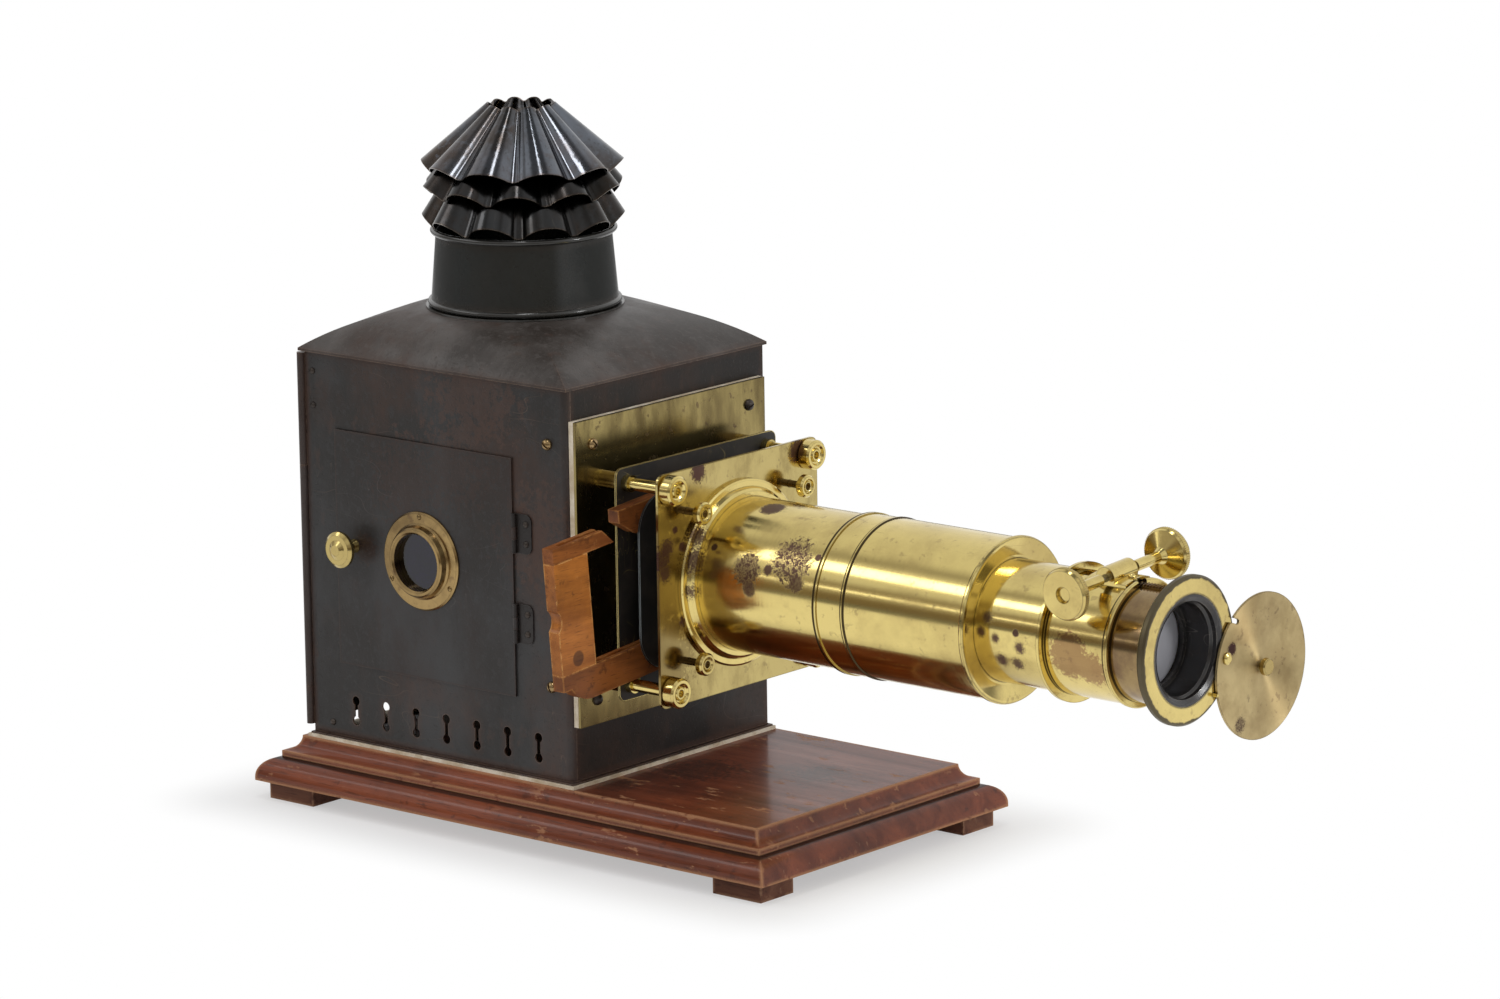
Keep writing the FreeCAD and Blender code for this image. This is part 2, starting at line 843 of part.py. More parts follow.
class Tier:
    """A fluted cone of thin sheet: wide round lobes with a narrow round valley after each.

    skirt is the height of its lower crests, meet the crest at its upper edge, depth that of its lower flutes.
    """

    def __init__(self, skirt, slope, depth, meet):
        crest = SIZES["tier_crest"]
        top_crest = SIZES["tier_top_crest"]
        shallow = SIZES["tier_top_depth"]
        lean = math.radians(SIZES["upper_tier_slope"])
        self.steep = math.tan(math.radians(slope))
        self.inward = (math.sin(lean), math.cos(lean))
        self.crests = [(meet, skirt + (crest - meet) * self.steep), (crest, skirt)]
        thinning = (depth - shallow) / (crest - top_crest)
        self.depths = [shallow + (meet - top_crest) * thinning, depth]

    def spot(self, level, inset):
        """The (radius, height) at a depth below the crest line."""
        radius, height = self.crests[level]
        return radius - inset * self.inward[0], height - inset * self.inward[1]

    def underside(self):
        """The slope and the height at the middle of the line under a valley."""
        sheet = SIZES["tier_sheet"]
        top, bottom = [self.spot(level, self.depths[level] + sheet) for level in (0, 1)]
        fall = (top[1] - bottom[1]) / (bottom[0] - top[0])
        return fall, bottom[1] + fall * bottom[0]

    def meets_under(self, upper):
        """The crest radius at which this tier's upper edge comes just under another tier's valleys."""
        fall, height = upper.underside()
        own_height = self.crests[1][1] + self.crests[1][0] * self.steep
        return (own_height - height + SIZES["solder_gap"]) / (self.steep - fall)

    def solid(self, facing):
        """The sheet, with one valley at the facing angle."""
        flutes = int(SIZES["tier_flutes"])
        sheet = SIZES["tier_sheet"]
        step = 2 * math.pi / flutes
        faces = []
        for index in range(flutes):
            start = math.radians(facing) + index * step
            for wave in (self.lobe, self.valley):
                outer = [wave(level, 0, start, step) for level in (0, 1)]
                inner = [wave(level, sheet, start, step) for level in (0, 1)]
                faces.append(Part.makeRuledSurface(outer[0], outer[1]))
                faces.append(Part.makeRuledSurface(inner[0], inner[1]))
                faces.append(Part.makeRuledSurface(outer[0], inner[0]))
                faces.append(Part.makeRuledSurface(outer[1], inner[1]))
        shell = Part.makeShell(faces)
        shell.sewShape()
        solid = Part.makeSolid(shell)
        if solid.Volume < 0:
            solid.reverse()
        return solid

    def lobe(self, level, inset, start, step):
        """The arc of the upper or lower edge over a crest, as far as the valleys beside it."""
        wide = SIZES["tier_lobe_share"]
        deep = self.depths[level] * wide
        stops = [(0.5 - wide / 2, deep), (0.5, 0), (0.5 + wide / 2, deep)]
        return self.arc(level, inset, start, step, stops)

    def valley(self, level, inset, start, step):
        """The arc of the upper or lower edge through the valley after a lobe."""
        wide = SIZES["tier_lobe_share"]
        deep = self.depths[level]
        stops = [(0.5 + wide / 2, deep * wide), (1, deep), (1.5 - wide / 2, deep * wide)]
        return self.arc(level, inset, start, step, stops)

    def arc(self, level, inset, start, step, stops):
        """An arc through three stops, each a share of the step round the axis and a depth."""
        points = []
        for share, deep in stops:
            radius, height = self.spot(level, deep + inset)
            angle = start + share * step
            points.append(Vector(radius * math.cos(angle), radius * math.sin(angle), height))
        return Part.Arc(*points).toShape()


def cowl_tiers():
    """The lower tier stands on the collar's rim, and each is soldered under the next one's valleys."""
    lean = math.radians(SIZES["upper_tier_slope"])
    seat = number(S.collar_height) + SIZES["solder_gap"]
    low = seat + (SIZES["lower_tier_depth"] + SIZES["tier_sheet"]) * math.cos(lean)
    mid = low + SIZES["middle_tier_rise"]
    top = mid + SIZES["upper_tier_rise"]
    top_crest = SIZES["tier_top_crest"]
    upper = Tier(top, SIZES["upper_tier_slope"], SIZES["upper_tier_depth"], top_crest)
    reach = Tier(mid, SIZES["middle_tier_slope"], SIZES["middle_tier_depth"], top_crest).meets_under(upper)
    middle_tier = Tier(mid, SIZES["middle_tier_slope"], SIZES["middle_tier_depth"], reach)
    slope = SIZES["lower_tier_slope"]
    depth = SIZES["lower_tier_depth"]
    reach = Tier(low, slope, depth, top_crest).meets_under(middle_tier)
    lower = Tier(low, slope, depth, reach)
    for name, tier in (("lower", lower), ("middle", middle_tier), ("upper", upper)):
        piece = code_made(tier.solid(SIZES[f"{name}_tier_facing"]))
        node(f"cowl_tier_{name}", place(piece, (chimney_x, 0, collar_low)))


# Side door

def side_door():
    sheet = box((door_rear, door_outer, door_low), (door_front, door_inner, door_high))
    knuckles = []
    for rise in (S.lower_hinge, S.upper_hinge):
        low = door_low + rise - S.hinge_length / 6 + S.hinge_end_gap
        high = door_low + rise + S.hinge_length / 6 - S.hinge_end_gap
        tab = box((door_front - S.sheet, door_outer, low), (hinge_x, door_inner, high))
        barrel = rod("z", (hinge_x, hinge_y, low), S.hinge_barrel, high - low)
        knuckles.append(fuse(tab, barrel))
    pin = rod("z", (hinge_x, hinge_y, door_low), S.hinge_pin + S.hinge_fit, S.door_height)
    window = rod("y", (window_x, door_outer - S.sheet, window_z), S.glass_radius - S.sheet * 2, S.sheet * 4)
    knob_hole = rod("y", (knob_x, door_outer - S.sheet, knob_z), S.screw_shank, S.sheet * 4)
    node("side_door", cut(fuse(sheet, *knuckles), pin, window, knob_hole))


window_x = door_rear + S.window_setback
window_z = door_low + S.window_height
knob_x = door_rear + S.door_knob_setback
knob_z = door_low + S.door_knob_height


def side_hinges():
    leaves = []
    pins = []
    outer = -side - S.hinge_leaf_sheet
    corner = S.hinge_leaf_corner
    reach = hinge_x + S.hinge_barrel + S.hinge_leaf
    for rise in (S.lower_hinge, S.upper_hinge):
        low = door_low + rise - S.hinge_length / 2
        high = low + S.hinge_length
        third = S.hinge_length / 3
        square = box((hinge_x, outer, low), (reach - corner, -side, high))
        tongue = box((hinge_x, outer, low + corner), (reach, -side, high - corner))
        turns = (low + corner, high - corner)
        rounds = [rod("y", (reach - corner, outer, z), corner, S.hinge_leaf_sheet) for z in turns]
        swing = box((hinge_x - S.hinge_barrel, hinge_y - S.hinge_barrel, low + third),
                    (hinge_x + S.hinge_barrel + S.door_gap, -side + S.sheet, high - third))
        barrels = [rod("z", (hinge_x, hinge_y, z), S.hinge_barrel, third) for z in (low, high - third)]
        bore = rod("z", (hinge_x, hinge_y, low), S.hinge_pin, S.hinge_length)
        leaves.append(cut(fuse(square, tongue, *rounds, *barrels), swing, bore))
        pins.append(rod("z", (hinge_x, hinge_y, low), S.hinge_pin, S.hinge_length))
    node("side_hinge_leaves", group(*leaves))
    node("side_hinge_pins", group(*pins))


def side_door_window():
    high = S.bezel_height
    flat = S.bezel_flange
    edge = S.bezel_edge
    seat = S.glass_radius + S.glass_play
    floor_at = S.glass_thickness + S.glass_play
    rim = S.bezel_radius
    bore = S.bezel_bore
    profile = [
        (0, seat),
        (0, rim),
        (edge - flat, rim),
        (-flat, rim - edge),
        (-flat, seat + edge),
        (-flat - edge, seat),
        (edge - high, seat - edge),
        (-high, seat - 2 * edge),
        (-high, bore + edge),
        (edge - high, bore),
        (-floor_at, bore),
        (-floor_at, seat),
    ]
    node("window_bezel", turned("y", profile, (window_x, door_outer, window_z)))
    thick = S.glass_thickness
    node("window_glass", rod("y", (window_x, door_outer - thick, window_z), S.glass_radius, thick))
    screws = []
    for turn in (90, 210, 330):
        angle = math.radians(turn)
        x = window_x + S.bezel_screw_circle * math.cos(angle)
        z = window_z + S.bezel_screw_circle * math.sin(angle)
        screws.append(dome_head("-y", (x, door_outer - flat, z), S.screw_shank))
    node("bezel_screws", group(*screws))


def dome_head(way, at, radius):
    """A round screw or rivet head that stands on a surface."""
    head = ball((0, 0, 0), radius)
    whole = radius * 2
    if way == "-y":
        half = box((-radius, -whole, -radius), (radius, 0 * radius, radius))
    elif way == "y":
        half = box((-radius, 0 * radius, -radius), (radius, whole, radius))
    else:
        half = box((0 * radius, -radius, -radius), (whole, radius, radius))
    return place(common(head, half), at)


def side_door_knob():
    off = S.door_knob_standoff
    big = S.door_knob_radius
    shank = S.door_knob_shank
    thick = S.sheet
    profile = [
        (thick * 2, 0),
        (thick * 2, S.screw_shank * 1.6),
        (thick, S.screw_shank * 1.6),
        (thick, S.screw_shank - S.hinge_fit),
        (0, S.screw_shank - S.hinge_fit),
        (0, shank * 1.3),
        (-off * 0.3, shank),
        (-off * 0.8, shank),
        (-off, big * 0.7),
        (-off - big * 0.12, big),
        (-off - big * 0.3, big),
        (-off - big * 0.45, big * 0.82),
        (-off - big * 0.45, big * 0.55),
        (-off - big * 0.6, big * 0.3),
        (-off - big * 0.6, 0),
    ]
    node("side_door_knob", turned("y", profile, (knob_x, door_outer, knob_z)))


# Rear door

def rear_door():
    low = floor + S.rear_door_sill
    high = eaves - S.rear_door_top_gap
    half = S.sheet / 2
    clear = wire_y + S.wire_barrel + S.hinge_end_gap
    sheet = box((wire_x - half, clear, low), (wire_x + half, side, high))
    low_end = knuckle_low + S.hinge_end_gap
    high_end = knuckle_high - S.hinge_end_gap
    tab = box((wire_x - half, wire_y, low_end), (wire_x + half, clear + S.sheet, high_end))
    barrel = rod("z", (wire_x, wire_y, low_end), S.wire_barrel, high_end - low_end)
    bore = rod("z", (wire_x, wire_y, low), S.wire_radius + S.hinge_fit, high - low)
    node("rear_door", cut(fuse(sheet, tab, barrel), bore))
    node("rear_hinge_rod", rod("z", (wire_x, wire_y, low), S.wire_radius, high - low))


# Stage

def back_plate():
    half = S.back_plate_width / 2
    outline = rectangle(-half, -S.back_plate_below, half, S.back_plate_above)
    cell = S.condenser_radius + S.condenser_wall + S.lens_fit
    node("front_packing", padded("x", outline, S.front_packing, [(0, 0, cell)], (front, 0, axis)))
    holes = [(0, 0, S.aperture_radius)]
    holes += [(pillar_y * y, pillar_z * z, S.tenon_radius + S.tenon_fit) for y, z in CORNERS]
    node("back_plate", padded("x", outline, S.back_plate, holes, (plate_back, 0, axis)))


def wall_fasteners():
    """Screw heads on the back plate and the side walls, and the rivets along the rear edges."""
    inset = S.plate_screw_inset
    out_y = S.back_plate_width / 2 - inset
    heads = []
    for y, z in CORNERS:
        height = S.back_plate_above - inset if z > 0 else inset - S.back_plate_below
        heads.append(dome_head("x", (plate_face, out_y * y, axis + height), S.screw_head))
    for y, way in ((-side, "-y"), (side, "y")):
        for height in (S.back_plate_above - inset, inset - S.back_plate_below + S.side_screw_lift):
            heads.append(dome_head(way, (front - inset, y, axis + height), S.screw_head))
        x = rear + S.rivet_inset
        for drop in (S.rivet_drop, S.rivet_second_drop):
            heads.append(dome_head(way, (x, y, eaves - drop), S.rivet_radius))
        low_rivet = (rear + S.low_rivet_inset, y, floor + S.low_rivet_rise)
        heads.append(dome_head(way, low_rivet, S.rivet_radius))
    node("wall_fasteners", group(*heads))


def stage_plates():
    half_y = S.plate_width / 2
    half_z = S.plate_height / 2
    outline = rectangle(-half_y, -half_z, half_y, half_z)
    tenons = [(pillar_y * y, pillar_z * z, S.tenon_radius + S.tenon_fit) for y, z in CORNERS]
    rods = [(S.pull_spread_y * y, S.pull_spread_z * z, S.pull_rod + S.pull_fit) for y, z in CORNERS]
    stage = padded("x", outline, S.stage_plate, [(0, 0, S.aperture_radius), *tenons], (stage_back, 0, axis))
    node("stage_plate", round_corners(stage, "x", S.plate_corner))
    tube = (0, 0, S.nozzle_radius + S.tenon_fit)
    plate = padded("x", outline, S.objective_plate, [tube, *tenons, *rods], (front_back, 0, axis))
    node("objective_plate", round_corners(plate, "x", S.plate_corner))


def stage_pillars():
    pillars = []
    nuts = []
    tail = -S.back_plate
    stage_at = S.boss_length
    bar_at = stage_at + S.stage_plate
    bar_end = bar_at + S.pillar_length
    nut_at = bar_end + S.objective_plate
    tenon = S.tenon_radius
    profile = [
        (tail, 0),
        (tail, tenon),
        (0, tenon),
        (0, S.boss_radius),
        (stage_at, S.boss_radius),
        (stage_at, tenon),
        (bar_at, tenon),
        (bar_at, S.pillar_collar),
        (bar_at + S.pillar_collar_length, S.pillar_collar),
        (bar_at + S.pillar_collar_length, S.pillar_radius),
        (bar_end, S.pillar_radius),
        (bar_end, tenon),
        (nut_at + S.nut_length * 0.6, tenon),
        (nut_at + S.nut_length * 0.6, 0),
    ]
    long = S.nut_length
    wide = S.nut_radius
    hole = tenon + S.tenon_fit
    nut = [
        (0, hole),
        (0, wide * 0.9),
        (long * 0.1, wide),
        (long * 0.86, wide),
        (long, wide * 0.88),
        (long, wide * 0.68),
        (long * 0.86, wide * 0.58),
        (long * 0.8, wide * 0.46),
        (long * 0.92, wide * 0.38),
        (long * 0.92, hole),
    ]
    for y, z in CORNERS:
        at = (plate_face, pillar_y * y, axis + pillar_z * z)
        pillars.append(turned("x", profile, at))
        nuts.append(turned("x", nut, (front_face, at[1], at[2])))
    node("stage_pillars", group(*pillars))
    node("pillar_nuts", group(*nuts))


def pressure_plate():
    half_y = S.pressure_width / 2
    half_z = S.pressure_height / 2
    outline = rectangle(-half_y, -half_z, half_y, half_z)
    holes = [(0, 0, S.aperture_radius)]
    holes += [(S.pull_spread_y * y, S.pull_spread_z * z, S.pull_rod) for y, z in CORNERS]
    plate = padded("x", outline, S.pressure_plate, holes, (press_back, 0, axis))
    node("pressure_plate", round_corners(plate, "x", S.pressure_corner))

    rods = []
    knobs = []
    springs = []
    big = S.pull_knob
    long = S.pull_knob_length
    neck = S.pull_rod * 1.6
    profile = [
        (0, S.pull_rod),
        (0, neck),
        (long * 0.25, neck),
        (long * 0.34, big * 0.9),
        (long * 0.42, big),
        (long * 0.84, big),
        (long, big * 0.86),
        (long, big * 0.66),
        (long * 0.86, big * 0.56),
        (long * 0.82, big * 0.48),
        (long * 0.92, big * 0.42),
        (long * 0.92, S.pull_rod),
    ]
    knob_at = front_face + S.pull_standoff
    rod_length = knob_at + long * 0.7 - press_back
    for y, z in CORNERS:
        place_y = S.pull_spread_y * y
        place_z = axis + S.pull_spread_z * z
        rods.append(rod("x", (press_back, place_y, place_z), S.pull_rod, rod_length))
        knobs.append(turned("x", profile, (knob_at, place_y, place_z)))
        start = press_face + S.spring_wire + S.solder_gap
        springs.append(stand(coil_spring(), "x", (start, place_y, place_z)))
    node("pull_rods", group(*rods))
    node("pull_knobs", group(*knobs))
    node("pressure_springs", group(*springs))


def coil_spring():
    """A coil that fills the space between the pressure plate and the objective plate."""
    wire = SIZES["spring_wire"]
    radius = SIZES["spring_radius"]
    length = number(front_back - press_face) - 2 * wire - 2 * SIZES["solder_gap"]
    helix = Part.makeHelix(length / SIZES["spring_turns"], length, radius)
    flats = int(SIZES["spring_flats"])
    corners = []
    for index in range(flats):
        angle = 2 * math.pi * (index + 0.5) / flats
        corners.append(Vector(radius + wire * math.cos(angle), 0, wire * math.sin(angle)))
    section = Part.makePolygon(corners + corners[:1])
    coil = Part.Wire(helix.Edges).makePipeShell([section], True, True)
    return code_made(coil)


# Slide carrier: local Y runs along the carrier from the near lower pillar, local Z stands on it.

carrier_rest = axis - pillar_z + S.pillar_collar + S.stage_play
CARRIER = (carrier_back, -pillar_y, carrier_rest)
near_end = -S.carrier_reach
far_end = near_end + S.carrier_length
carrier_low = S.carrier_keel
carrier_high = carrier_low + S.carrier_height


def carrier_piece(label, piece):
    node(label, place(piece, CARRIER, S.carrier_tilt))


def slide_carrier():
    thick = S.carrier_thickness
    rail = S.carrier_rail
    play = S.slide_play
    rail_top = carrier_low + rail
    rail_under = carrier_high - rail
    groove_x = (thick - S.slide_thickness) / 2 - play
    groove_end = groove_x + S.slide_thickness + 2 * play

    keel_start = near_end + S.carrier_keel_start
    radius = S.carrier_keel_round
    strip = box((0, near_end, carrier_low), (thick, far_end, rail_top))
    keel = box((0, keel_start + radius, 0), (thick, far_end, carrier_low))
    nose = rod("x", (0, keel_start + radius, radius), radius, thick)
    nose_part = box((0, keel_start, 0), (thick, keel_start + 2 * radius, carrier_low))
    inside = near_end + S.carrier_end
    low_groove = box((groove_x, inside, rail_top - S.carrier_groove), (groove_end, far_end, rail_top))
    bottom = fuse(strip, keel, common(nose, nose_part))
    carrier_piece("carrier_bottom_rail", cut(bottom, low_groove))

    ends = []
    notch_z = carrier_low + S.carrier_notch_height
    for start in (near_end, far_end - S.carrier_end):
        block = box((0, start, rail_top), (thick, start + S.carrier_end, rail_under))
        clear = S.carrier_notch - S.carrier_notch_depth
        edge = start - clear if start is near_end else far_end + clear
        notch = rod("x", (0, edge, notch_z), S.carrier_notch, thick)
        ends.append(cut(block, notch))
    plug_at = (thick / 2, near_end + S.carrier_plug_place, carrier_low + S.carrier_plug_height)
    ends[0] = cut(ends[0], rod("x", plug_at, S.carrier_plug + S.carrier_plug_fit, thick))
    ends.append(rod("x", plug_at, S.carrier_plug, thick / 2))
    carrier_piece("carrier_ends", group(*ends))

    arm_end = near_end + S.carrier_arm
    rail_start = arm_end + S.carrier_gap
    arm = box((0, near_end, rail_under), (thick, arm_end, carrier_high))
    slot = box((groove_x, near_end + S.carrier_slot_start, rail_under), (groove_end, arm_end, carrier_high))
    upper_corner = [(arm_end - rail, carrier_high), (arm_end, carrier_high), (arm_end, rail_under)]
    rail_bar = box((0, rail_start, rail_under), (thick, far_end, carrier_high))
    crest_end = rail_start + S.carrier_crest_length
    crest = box((0, rail_start, carrier_high), (thick, crest_end, carrier_high + S.carrier_crest))
    top = fuse(rail_bar, crest)
    groove = box((groove_x, rail_start, rail_under), (groove_end, far_end, rail_under + S.carrier_groove))
    foot = rail_start + S.carrier_bevel
    lower_corner = [(rail_start, carrier_high), (rail_start, rail_under), (foot, rail_under)]
    near_top = cut(arm, slot, padded("x", upper_corner, thick))
    far_top = cut(top, groove, padded("x", lower_corner, thick))
    carrier_piece("carrier_top_rails", group(near_top, far_top))

    low_z = rail_top - S.carrier_groove + play
    slide_y = near_end + S.slide_place
    size = S.slide_size
    glass = box((groove_x + play, slide_y, low_z), (groove_end - play, slide_y + size, low_z + size))
    carrier_piece("glass_slide", group(glass))


# Condenser

condenser_back = plate_back - S.condenser_length


def condenser():
    inner = S.condenser_radius + S.lens_fit
    outer = S.condenser_radius + S.condenser_wall
    back = condenser_back
    shoulder = S.condenser_edge
    wall_at = front - S.sheet - back
    profile = [
        (0, inner - shoulder),
        (0, outer),
        (wall_at - S.condenser_wall, outer),
        (wall_at - S.condenser_wall, S.condenser_flange),
        (wall_at, S.condenser_flange),
        (wall_at, outer),
        (S.condenser_length, outer),
        (S.condenser_length, inner),
        (S.condenser_wall, inner),
        (S.condenser_wall, inner - shoulder),
    ]
    node("condenser_cell", turned("x", profile, (back, 0, axis)))
    rear_flat = back + S.condenser_wall + S.lens_fit
    front_flat = plate_back - S.lens_fit
    node("condenser_lenses", group(bulging_lens(rear_flat, 1), bulging_lens(front_flat, -1)))


def bulging_lens(flat, way):
    """A lens with one flat face, bulging along +X or -X."""
    radius = S.condenser_radius
    curve = (radius * radius + S.condenser_sag * S.condenser_sag) / (2 * S.condenser_sag)
    thick = S.condenser_sag + S.condenser_edge
    start = flat if way > 0 else flat - thick
    blank = rod("x", (start, 0, axis), radius, thick)
    return common(blank, ball((flat + way * (thick - curve), 0, axis), curve))


# Nozzle and draw tube

def nozzle():
    inner = S.nozzle_radius - S.nozzle_wall
    tube = [
        (0, inner),
        (0, S.nozzle_radius),
        (S.nozzle_length + S.objective_plate, S.nozzle_radius),
        (S.nozzle_length + S.objective_plate, inner),
    ]
    node("nozzle_tube", turned("x", tube, (front_back, 0, axis)))
    rim = S.nozzle_flange
    hole = S.nozzle_radius + S.tenon_fit
    tall = S.nozzle_flange_height
    wide = rim - hole
    ring = [
        (0, hole),
        (0, rim),
        (tall * 0.35, rim),
        (tall * 0.45, rim - wide * 0.12),
        (tall * 0.45, rim - wide * 0.45),
        (tall * 0.8, rim - wide * 0.55),
        (tall, rim - wide * 0.7),
        (tall, hole),
    ]
    node("nozzle_flange", turned("x", ring, (front_face, 0, axis)))


def draw_tube():
    inner = S.nozzle_radius + S.draw_fit
    outer = inner + S.sleeve_wall
    bead = S.sleeve_bead
    bead_at = S.sleeve_bead_place
    long = S.sleeve_length
    profile = [
        (0, inner),
        (0, outer + bead),
        (bead * 4, outer + bead),
        (bead * 4, outer),
        (bead_at - bead * 2, outer),
        (bead_at - bead, outer + bead),
        (bead_at + bead, outer + bead),
        (bead_at + bead * 2, outer),
        (long, outer),
        (long, inner),
    ]
    node("draw_sleeve", turned("x", profile, (sleeve_rear, 0, axis)))
    rim = S.sleeve_flange
    thick = S.sleeve_flange_thickness
    hole = S.jacket_radius + S.tenon_fit
    flange = [
        (0, hole),
        (0, rim - thick * 0.2),
        (thick * 0.3, rim),
        (thick * 0.7, rim),
        (thick, rim - thick * 0.2),
        (thick, rim - thick * 0.7),
        (thick * 0.4, hole + thick * 0.5),
        (thick * 0.4, hole),
    ]
    node("sleeve_flange", turned("x", flange, (sleeve_front, 0, axis)))


# Objective

ROLL = S.objective_roll
pitch_radius = S.gear_module * S.pinion_teeth / 2
addendum = S.gear_module
rack_pitch = S.focus_radius + addendum + S.gear_module * 1.25
spindle_height = rack_pitch + pitch_radius
pinion_tip = pitch_radius + addendum - S.tooth_clearance
slot_half = S.rack_width / 2 + S.rack_play
rack_step = S.gear_module * math.pi
rack_start = pinion_x - rack_step * (S.rack_teeth_behind + 0.5)
slot_start = rack_start - S.focus_travel - S.rack_play


def objective_jacket():
    inner = S.focus_radius + S.focus_fit
    outer = S.jacket_radius
    bead = S.jacket_bead
    tail = -S.jacket_tail
    ring_at = S.jacket_ring_place
    ring_end = ring_at + S.jacket_ring_thickness
    long = S.jacket_length
    profile = [
        (tail, inner),
        (tail, outer),
        (ring_at, outer),
        (ring_at, S.jacket_ring),
        (ring_end, S.jacket_ring),
        (ring_end, outer),
        (long - bead * 2, outer),
        (long - bead * 1.5, outer + bead),
        (long - bead * 0.5, outer + bead),
        (long, outer + bead * 0.4),
        (long, inner),
    ]
    tube = turned("x", profile, (sleeve_front, 0, 0))
    slot = box((slot_start, -slot_half, 0), (jacket_front + bead, slot_half, S.jacket_ring))
    node("objective_jacket", place(cut(tube, slot), (0, 0, axis), ROLL))


def pinion_box():
    half = S.saddle_length / 2
    wide = S.box_length / 2
    seat = S.jacket_radius + S.tenon_fit
    plate = rod("x", (pinion_x - half, 0, 0), seat + S.saddle_thickness, S.saddle_length)
    tall = S.jacket_radius
    top_only = box((pinion_x - half, -wide, tall / 2), (pinion_x + half, wide, tall * 2))
    barrel = rod("y", (pinion_x, -wide, spindle_height), S.box_radius, S.box_length)
    bore_radius = S.spindle_radius + S.spindle_fit
    bore = rod("y", (pinion_x, -S.box_length, spindle_height), bore_radius, 2 * S.box_length)
    room = S.pinion_width / 2 + S.rack_play
    chamber = rod("y", (pinion_x, -room, spindle_height), pinion_tip + S.rack_play, 2 * room)
    way_top = rack_pitch + addendum + S.rack_play
    rack_way = box((pinion_x - half, -slot_half, 0), (pinion_x + half, slot_half, way_top))
    jacket = rod("x", (pinion_x - half, 0, 0), seat, S.saddle_length)
    body = cut(fuse(common(plate, top_only), barrel), jacket, bore, chamber, rack_way)
    screws = []
    for sign in (-1, 1):
        at = (pinion_x + (half + S.box_radius) / 2 * sign, 0, seat + S.saddle_thickness)
        wide_head = S.screw_head
        upper_half = box((-wide_head, -wide_head, 0 * wide_head), (wide_head, wide_head, wide_head))
        head = common(ball((0, 0, 0), S.screw_shank * 1.3), upper_half)
        screws.append(place(head, at))
    node("pinion_box", place(group(body, *screws), (0, 0, axis), ROLL))


def pinion():
    half = S.spindle_length / 2
    bar = rod("y", (0, -half, 0), S.spindle_radius, S.spindle_length)
    root = pitch_radius - S.gear_module * 1.25
    hub = rod("y", (0, -S.pinion_width / 2, 0), root, S.pinion_width)
    teeth = pinion_teeth(root)
    at = (pinion_x, 0 - spindle_height * sine(ROLL), axis + spindle_height * cosine(ROLL))
    node("pinion_spindle", place(fuse(bar, hub, teeth), at, ROLL))


def sine(angle):
    """The sine of a bound angle."""
    return Size(math.sin(math.radians(angle.value)), f"sin({angle.text} * 1 deg)")


def cosine(angle):
    """The cosine of a bound angle."""
    return Size(math.cos(math.radians(angle.value)), f"cos({angle.text} * 1 deg)")


def pinion_teeth(root):
    """The pinion's teeth about a line along Y, with one tooth pointing straight down."""
    body = doc.addObject("PartDesign::Body", "Teeth")
    sketch = sketch_on(body, "XZ_Plane")
    pitch_half = S.gear_module * math.pi / 4 - S.tooth_backlash / 2
    tip_half = pitch_half * 0.5
    root_half = pitch_half * 1.4
    inside = root * 0.8
    roots = [(-root_half, -inside), (root_half, -inside)]
    tips = [(tip_half, -pinion_tip), (-tip_half, -pinion_tip)]
    draw_loop(sketch, roots + tips)
    pad = body.newObject("PartDesign::Pad", "Tooth")
    pad.Profile = sketch
    bind(pad, "Length", S.pinion_width)
    pad.Midplane = True
    doc.recompute()
    ring = body.newObject("PartDesign::PolarPattern", "Ring")
    ring.Originals = [pad]
    ring.Axis = ([feature for feature in body.Origin.OriginFeatures if feature.Role == "Y_Axis"][0], [""])
    ring.Angle = 360
    ring.Occurrences = int(SIZES["pinion_teeth"])
    body.Tip = ring
    return body


def pinion_knobs():
    stem = S.focus_knob_stem
    big = S.focus_knob
    long = S.focus_knob_length
    hole = S.spindle_radius
    knobs = []
    for sign in (-1, 1):
        start = S.box_length / 2 + S.focus_knob_gap
        profile = [
            (start, hole),
            (start, stem),
            (start + long * 0.62, stem),
            (start + long * 0.72, stem * 1.5),
            (start + long * 0.82, big * 0.94),
            (start + long * 0.86, big),
            (start + long * 0.95, big),
            (start + long, big * 0.94),
            (start + long, big * 0.32),
            (start + long * 0.94, big * 0.26),
            (start + long * 0.94, 0),
            (S.spindle_length / 2, 0),
            (S.spindle_length / 2, hole),
        ]
        knobs.append(turned("y", [(along * sign, radius) for along, radius in profile]))
    at = (pinion_x, 0 - spindle_height * sine(ROLL), axis + spindle_height * cosine(ROLL))
    node("pinion_knobs", place(group(*knobs), at, ROLL))


